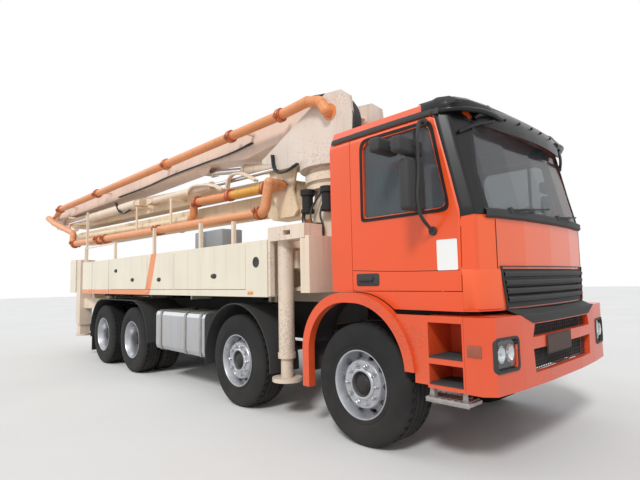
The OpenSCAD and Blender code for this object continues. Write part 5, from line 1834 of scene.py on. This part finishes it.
@dataclass
class Hoses:
    """Hydraulic hoses, their arches and the cable along the boom."""

    def run(self, name: str, body: str, lane: float, places: Sequence[Flat], radius: float, count: int,
            finish: Finish, pitch: float = 0.03) -> None:
        """A bundle of hoses side by side.

        Args:
            name: the piece's name.
            body: the body it rides on.
            lane: the bundle's middle lane.
            places: the route as (x, z) on the boom.
            radius: half of one hose's thickness.
            count: how many hoses lie side by side.
            finish: the finish they wear.
            pitch: the distance between neighbours.
        """
        parts = []
        for k in range(count):
            off = (k - (count - 1) / 2) * pitch
            wave = 0.012 * ((k * 7) % 3 - 1)
            parts.append(Bench.tube([on_boom(x, lane + off,
                                             z + wave * (0.3 + 0.7 * (0 < j < len(places) - 1)))
                                     for j, (x, z) in enumerate(places)], radius, True, 2))
        Bench.done(Bench.joined(parts), name, finish, body, "black_plastic")

    def build(self) -> None:
        """Builds all hoses."""
        black, pale = Finishes.hose, Finishes.cream
        self.run("hoses_foot", "turret", -0.255,
                 ((-0.281, 3.855), (-0.015, 3.829), (0.21, 3.779), (0.405, 3.633),
                                                  (0.50, 3.364), (0.45, 3.15)), 0.016, 5, black, 0.034)
        self.run("hoses_turret", "turret", -0.375,
                 ((-0.888, 3.20), (-0.831, 2.99), (-0.70, 2.93), (-0.40, 2.99)),
                 0.016, 2, black)
        self.run("hoses_arm_1", "arm_1", -0.215,
                 ((-5.867, 3.30), (-4.601, 3.36), (-3.868, 3.42), (-2.904, 3.46),
                                                  (-1.895, 3.50), (-1.509, 3.54)), 0.013, 2, black)
        self.run("hoses_arch_a", "arm_2", -0.340,
                 ((-3.046, 2.94), (-2.956, 3.046), (-2.662, 3.061), (-2.329, 3.002),
                                                   (-2.066, 2.899)), 0.020, 2, pale, 0.045)
        self.run("hoses_arch_b", "arm_2", -0.340,
                 ((-1.964, 2.900), (-1.888, 3.060), (-1.692, 3.090), (-1.436, 2.999),
                                                   (-1.279, 2.91)), 0.020, 2, pale, 0.045)
        self.run("hoses_rear", "arm_2", -0.350,
                 ((-5.731, 3.15), (-5.631, 3.03), (-5.448, 2.901), (-5.104, 2.923)),
                 0.014, 2, black)


@dataclass
class Turntable:
    """Bolts of the slewing ring, motors, a valve block and lines on the column."""

    bolts: int = 36
    bolt_circle: float = 0.49
    ring_z: float = 2.976
    motors: tuple[Flat, ...] = ((-0.16, -0.43), (0.17, -0.40), (0.0, 0.42))
    lines: int = 6

    def around(self, radius: float, turn: float, z: float) -> Vector:
        """A place round the slewing axis."""
        return Vector((SLEW_AXIS + radius * math.cos(turn), radius * math.sin(turn), z))

    def build(self) -> None:
        """Builds what sits round the column."""
        parts = []
        for k in range(self.bolts):
            bolt = Bench.spun([(0.0, -0.012), (0.014, -0.012), (0.016, 0.0), (0.0, 0.0)], 6)
            place = self.around(self.bolt_circle, 2 * math.pi * k / self.bolts, self.ring_z)
            parts.append(Bench.moved(bolt, put(place, -90.0, "X")))
        Bench.done(Bench.joined(parts), "ring_bolts", Finishes.zinc, "turret", "chrome_rod")
        parts = []
        for x, y in self.motors:
            motor = Bench.spun([(0.0, 0.0), (0.075, 0.0), (0.085, 0.012), (0.085, 0.05), (0.070, 0.06),
                                (0.070, 0.22),
                                (0.090, 0.23), (0.090, 0.30), (0.0, 0.30)], 28)
            parts.append(Bench.moved(motor, put((SLEW_AXIS + x, y, 2.30), 90.0, "X")))
        parts.append(Bench.block((SLEW_AXIS - 0.12, SLEW_AXIS + 0.10), (-0.52, -0.40), (2.02, 2.16), 0.008))
        Bench.done(Bench.joined(parts), "slew_motors", Finishes.frame_black)
        parts = []
        for turn in (-2.3 + k * 0.34 for k in range(self.lines)):
            foot = self.around(0.46, turn, 1.95)
            bends = [foot + Vector(step) for step in ((0.02, -0.03, 0.16), (-0.03, -0.02, 0.34))]
            parts.append(Bench.tube([foot, *bends, self.around(0.38, turn + 0.2, 2.58)], 0.013, True, 2))
        Bench.done(Bench.joined(parts), "column_lines", Finishes.hose)


# The body


@dataclass
class Lockers:
    """Latches, markers and seams of the lockers, the tank's straps and the deck box."""

    latches: tuple[tuple[float, float, str], ...] = (
        (-5.74, 1.70, "flap_1"), (-4.99, 1.53, "flap_1"), (-3.98, 1.52, "flap_2"), (-2.39, 1.54, "flap_3"))
    latch_size: Flat = (0.055, 0.032)
    latch_tail: float = 1.5
    markers: tuple[float, ...] = (-1.60, -4.42, -7.20)
    straps: tuple[float, ...] = (-4.01, -3.25, -2.83)
    strap: tuple[Flat, ...] = ((-0.590, 1.066), (-1.135, 1.066), (-1.19, 1.045), (-1.206, 0.99),
                               (-1.206, 0.54),
                               (-1.19, 0.484), (-1.135, 0.464), (-0.600, 0.464))
    seam_half: float = 0.004

    def latch(self, x: float, z: float) -> bpy.types.Object:
        """A drop-shaped latch at (x, z): a plate with a grip in it.

        Args:
            x: its place along the truck.
            z: its height.

        Returns:
            The latch.
        """
        turns = [2 * math.pi * k / 24 for k in range(24)]

        def drop(wide: float, high: float) -> list[Flat]:
            """The drop's outline, as shares of its whole width and height."""
            ru, rv = self.latch_size[0] * wide, self.latch_size[1] * high
            return shifted([(x + ru * math.cos(t) * (1.0 if math.cos(t) > 0 else self.latch_tail),
                             z + rv * math.sin(t)) for t in turns])

        plate = Bench.plate(Plane.SIDE, drop(1.0, 1.0), -BODY_SIDE + 0.001, -BODY_SIDE - 0.005, 0.002)
        grip = Bench.plate(Plane.SIDE, drop(0.55, 0.6), -BODY_SIDE - 0.003, -BODY_SIDE - 0.011, 0.003)
        return Bench.joined([plate, grip])

    def seam(self, x: float, z: Flat, face: float, out: float) -> bpy.types.Object:
        """A dark upright line.

        Args:
            x: its place along the truck.
            z: its lower and upper end.
            face: the wall's outer face.
            out: minus one on the right, one on the left.

        Returns:
            The line.
        """
        a, b = fore(x - self.seam_half, x + self.seam_half)
        outline = [(a, z[0]), (b, z[0]), (b, z[1]), (a, z[1])]
        return Bench.plate(Plane.SIDE, outline, face - out * 0.0006, face + out * 0.0008)

    def build(self) -> None:
        """Builds the fittings."""
        for k, (x, z, body) in enumerate(self.latches):
            Bench.done(self.latch(x, z), f"latch_{k + 1}", Finishes.plastic, body)
        cup = Bench.spun([(0.052, -0.006), (0.060, -0.004), (0.060, 0.002), (0.0, 0.002), (0.0, -0.001),
                          (0.040, -0.001)], 32)
        Bench.moved(cup, Matrix.Translation(on_truck(-1.49, -BODY_SIDE, 1.68)))
        Bench.done(cup, "round_recess", Finishes.plastic)
        markers = [Bench.block(fore(x - 0.05, x + 0.05), (-BODY_SIDE - 0.008, -BODY_SIDE + 0.002),
                               (1.318, 1.352), 0.004) for x in self.markers]
        markers += [Bench.copied(piece, mirrored()) for piece in list(markers)]
        Bench.done(Bench.joined(markers), "side_markers", Finishes.amber_lamp, slot="cream_paint")
        box = Bench.block(fore(-3.13, -2.42), (-1.12, -0.80), (1.921, 2.16), 0.018, 3)
        Bench.done(box, "deck_box", Finishes.grey_box)
        straps = [Bench.skin([[on_truck(x + off, y, z) for y, z in self.strap] for off in (-0.025, 0.025)],
                             0.004)
                  for x in self.straps]
        Bench.done(Bench.joined(straps), "tank_straps", Finishes.zinc)
        cap = Bench.spun([(0.0, -0.035), (0.045, -0.035), (0.055, -0.025), (0.055, 0.0), (0.0, 0.0)], 28)
        Bench.moved(cap, put(on_truck(-3.62, -0.86, 1.062), -90.0, "X"))
        Bench.done(cap, "tank_cap", Finishes.plastic)
        seams = [self.seam(x, (1.295, 1.915), -BODY_SIDE, -1.0) for x in (-7.02, -6.10)]
        seams += [Bench.copied(piece, mirrored()) for piece in list(seams)]
        seams += [self.seam(x, (1.375, 1.880), BODY_SIDE, 1.0) for x in (-5.98, -4.43, -3.50, -1.68)]
        Bench.done(Bench.joined(seams), "locker_seams", Finishes.seal)


@dataclass
class RearEnd:
    """Rear lamps, mud flaps and the hopper's rim."""

    lamp_y: Flat = (0.62, 0.96)
    amber_y: Flat = (0.87, 0.94)
    flap_y: Flat = (0.60, 1.20)
    flap_z: Flat = (0.18, 0.72)
    rim_x: Flat = (-8.194, -9.196)
    rim_half: float = 0.826

    def build(self) -> None:
        """Builds the rear end."""
        lamps, boxes, ambers, flaps = [], [], [], []
        for s in (-1, 1):
            y, amber = (sorted((s * a, s * b)) for a, b in (self.lamp_y, self.amber_y))
            lamps.append(Bench.block(fore(-8.122, -8.108), y, (0.605, 0.705), 0.006))
            ambers.append(Bench.block(fore(-8.128, -8.121), amber, (0.62, 0.69), 0.003))
            (a, b), (c, d) = self.flap_y, self.flap_z
            flap = [(s * a, c), (s * b, c), (s * b, d), (s * a, d)]
            flaps.append(Bench.plate(Plane.FRONT, flap, *fore(-7.115, -7.107), 0.002))
            boxes.append(Bench.block(fore(-8.108, -8.052), y, (0.592, 0.718), 0.006))
        for parts, name, finish in ((lamps, "rear_lamps", Finishes.red_lamp),
                                    (boxes, "rear_lamp_boxes", Finishes.plastic),
                                    (ambers, "rear_lamp_ambers", Finishes.amber_lamp),
                                    (flaps, "mud_flaps", Finishes.seal)):
            Bench.done(Bench.joined(parts), name, finish)
        (a, b), w = self.rim_x, self.rim_half
        rim = [on_truck(x, y, 1.425) for x, y in ((a, -w), (b, -w), (b, w), (a, w))]
        Bench.done(Bench.tube(rim, 0.014, False), "hopper_rim", Finishes.leg)


# The studio


@dataclass
class Studio:
    """Pale floor, soft light, white background and the camera at the photograph's angle."""

    spot: Point = (2.86318057 + FRONT_AXLE, -4.36207404, 1.46424444)
    ahead: Point = (-0.72406733, 0.68448015, 0.08493184)
    right: Point = (0.68556306, 0.72773046, -0.02028964)
    upward: Point = (0.07569534, -0.04353507, 0.99618016)
    lens: float = 26.419

    def camera(self) -> None:
        """Sets the camera."""
        data = bpy.data.cameras.new("camera")
        data.lens, data.sensor_width, data.sensor_fit = self.lens, 36.0, "HORIZONTAL"
        data.clip_end = 200.0
        camera = bpy.data.objects.new("camera", data)
        bpy.context.scene.collection.objects.link(camera)
        turn = Matrix((self.right, self.upward, [-c for c in self.ahead])).transposed().to_4x4()
        camera.matrix_world = Matrix.Translation(self.spot) @ turn
        bpy.context.scene.camera = camera

    def floor(self) -> None:
        """Lays the floor."""
        Bench.clear()
        bpy.ops.mesh.primitive_circle_add(vertices=96, radius=60.0, fill_type="NGON")
        piece = bpy.context.object
        piece.name = "floor"
        piece.data.materials.append(Finishes.floor.material())
        piece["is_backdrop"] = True

    def lights(self) -> None:
        """Sets a soft sun from the front right and one faint fill."""
        for name, turn, power, softness in (("sun", (48.0, 0.0, 30.0), 1.9, 12.0),
                                            ("fill", (60.0, 0.0, -60.0), 0.4, 40.0)):
            data = bpy.data.lights.new(name, "SUN")
            data.energy, data.angle = power, math.radians(softness)
            light = bpy.data.objects.new(name, data)
            light.rotation_euler = [math.radians(a) for a in turn]
            bpy.context.scene.collection.objects.link(light)

    def world(self) -> None:
        """Makes the sky: white to the eye and in gloss, plain light to the rest."""
        world = bpy.data.worlds.new("studio_sky")
        bpy.context.scene.world = world
        world.use_nodes = True
        tree = world.node_tree
        tree.nodes.clear()
        board = Board(tree)
        path = board.add("LightPath")
        seen = board.math("ADD", path.outputs["Is Camera Ray"], path.outputs["Is Glossy Ray"])
        seen = board.math("ADD", seen, path.outputs["Is Transmission Ray"])
        white, plain = board.add("Background"), board.add("Background")
        white.inputs["Color"].default_value = (1.0, 1.0, 1.0, 1.0)
        plain.inputs["Color"].default_value = (0.94, 0.97, 1.0, 1.0)
        plain.inputs["Strength"].default_value = 0.62
        mix = board.add("MixShader")
        board.link(board.math("MINIMUM", seen, 1.0), mix.inputs[0])
        board.link(plain.outputs[0], mix.inputs[1])
        board.link(white.outputs[0], mix.inputs[2])
        board.link(mix.outputs[0], tree.nodes.new("ShaderNodeOutputWorld").inputs["Surface"])

    def build(self) -> None:
        """Sets up the whole studio."""
        self.camera()
        self.floor()
        self.lights()
        self.world()
        bpy.context.scene.view_settings.view_transform = "Standard"


def corners() -> list[list[float]]:
    """The shown model's box as plain lists of numbers."""
    return [[float(c) for c in corner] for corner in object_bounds()]


def main() -> None:
    """Dresses the truck piece by piece and sets it in the studio."""
    logging.basicConfig(level=logging.INFO, format="%(name)s: %(message)s", stream=sys.stdout)
    Bench.clear()
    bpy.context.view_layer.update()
    log.info("CAD nodes dressed: %d", dress_nodes())
    for part in (Wheels(), CabSkin(), SunVisor(), Mirrors(), FrontEnd(), PipeLine(), Hoses(), Turntable(),
                 Lockers(), RearEnd()):
        made = Bench.pieces
        part.build()
        log.info("%s: %d pieces", type(part).__name__, Bench.pieces - made)
    Studio().build()


if __name__ == "__main__":
    main()
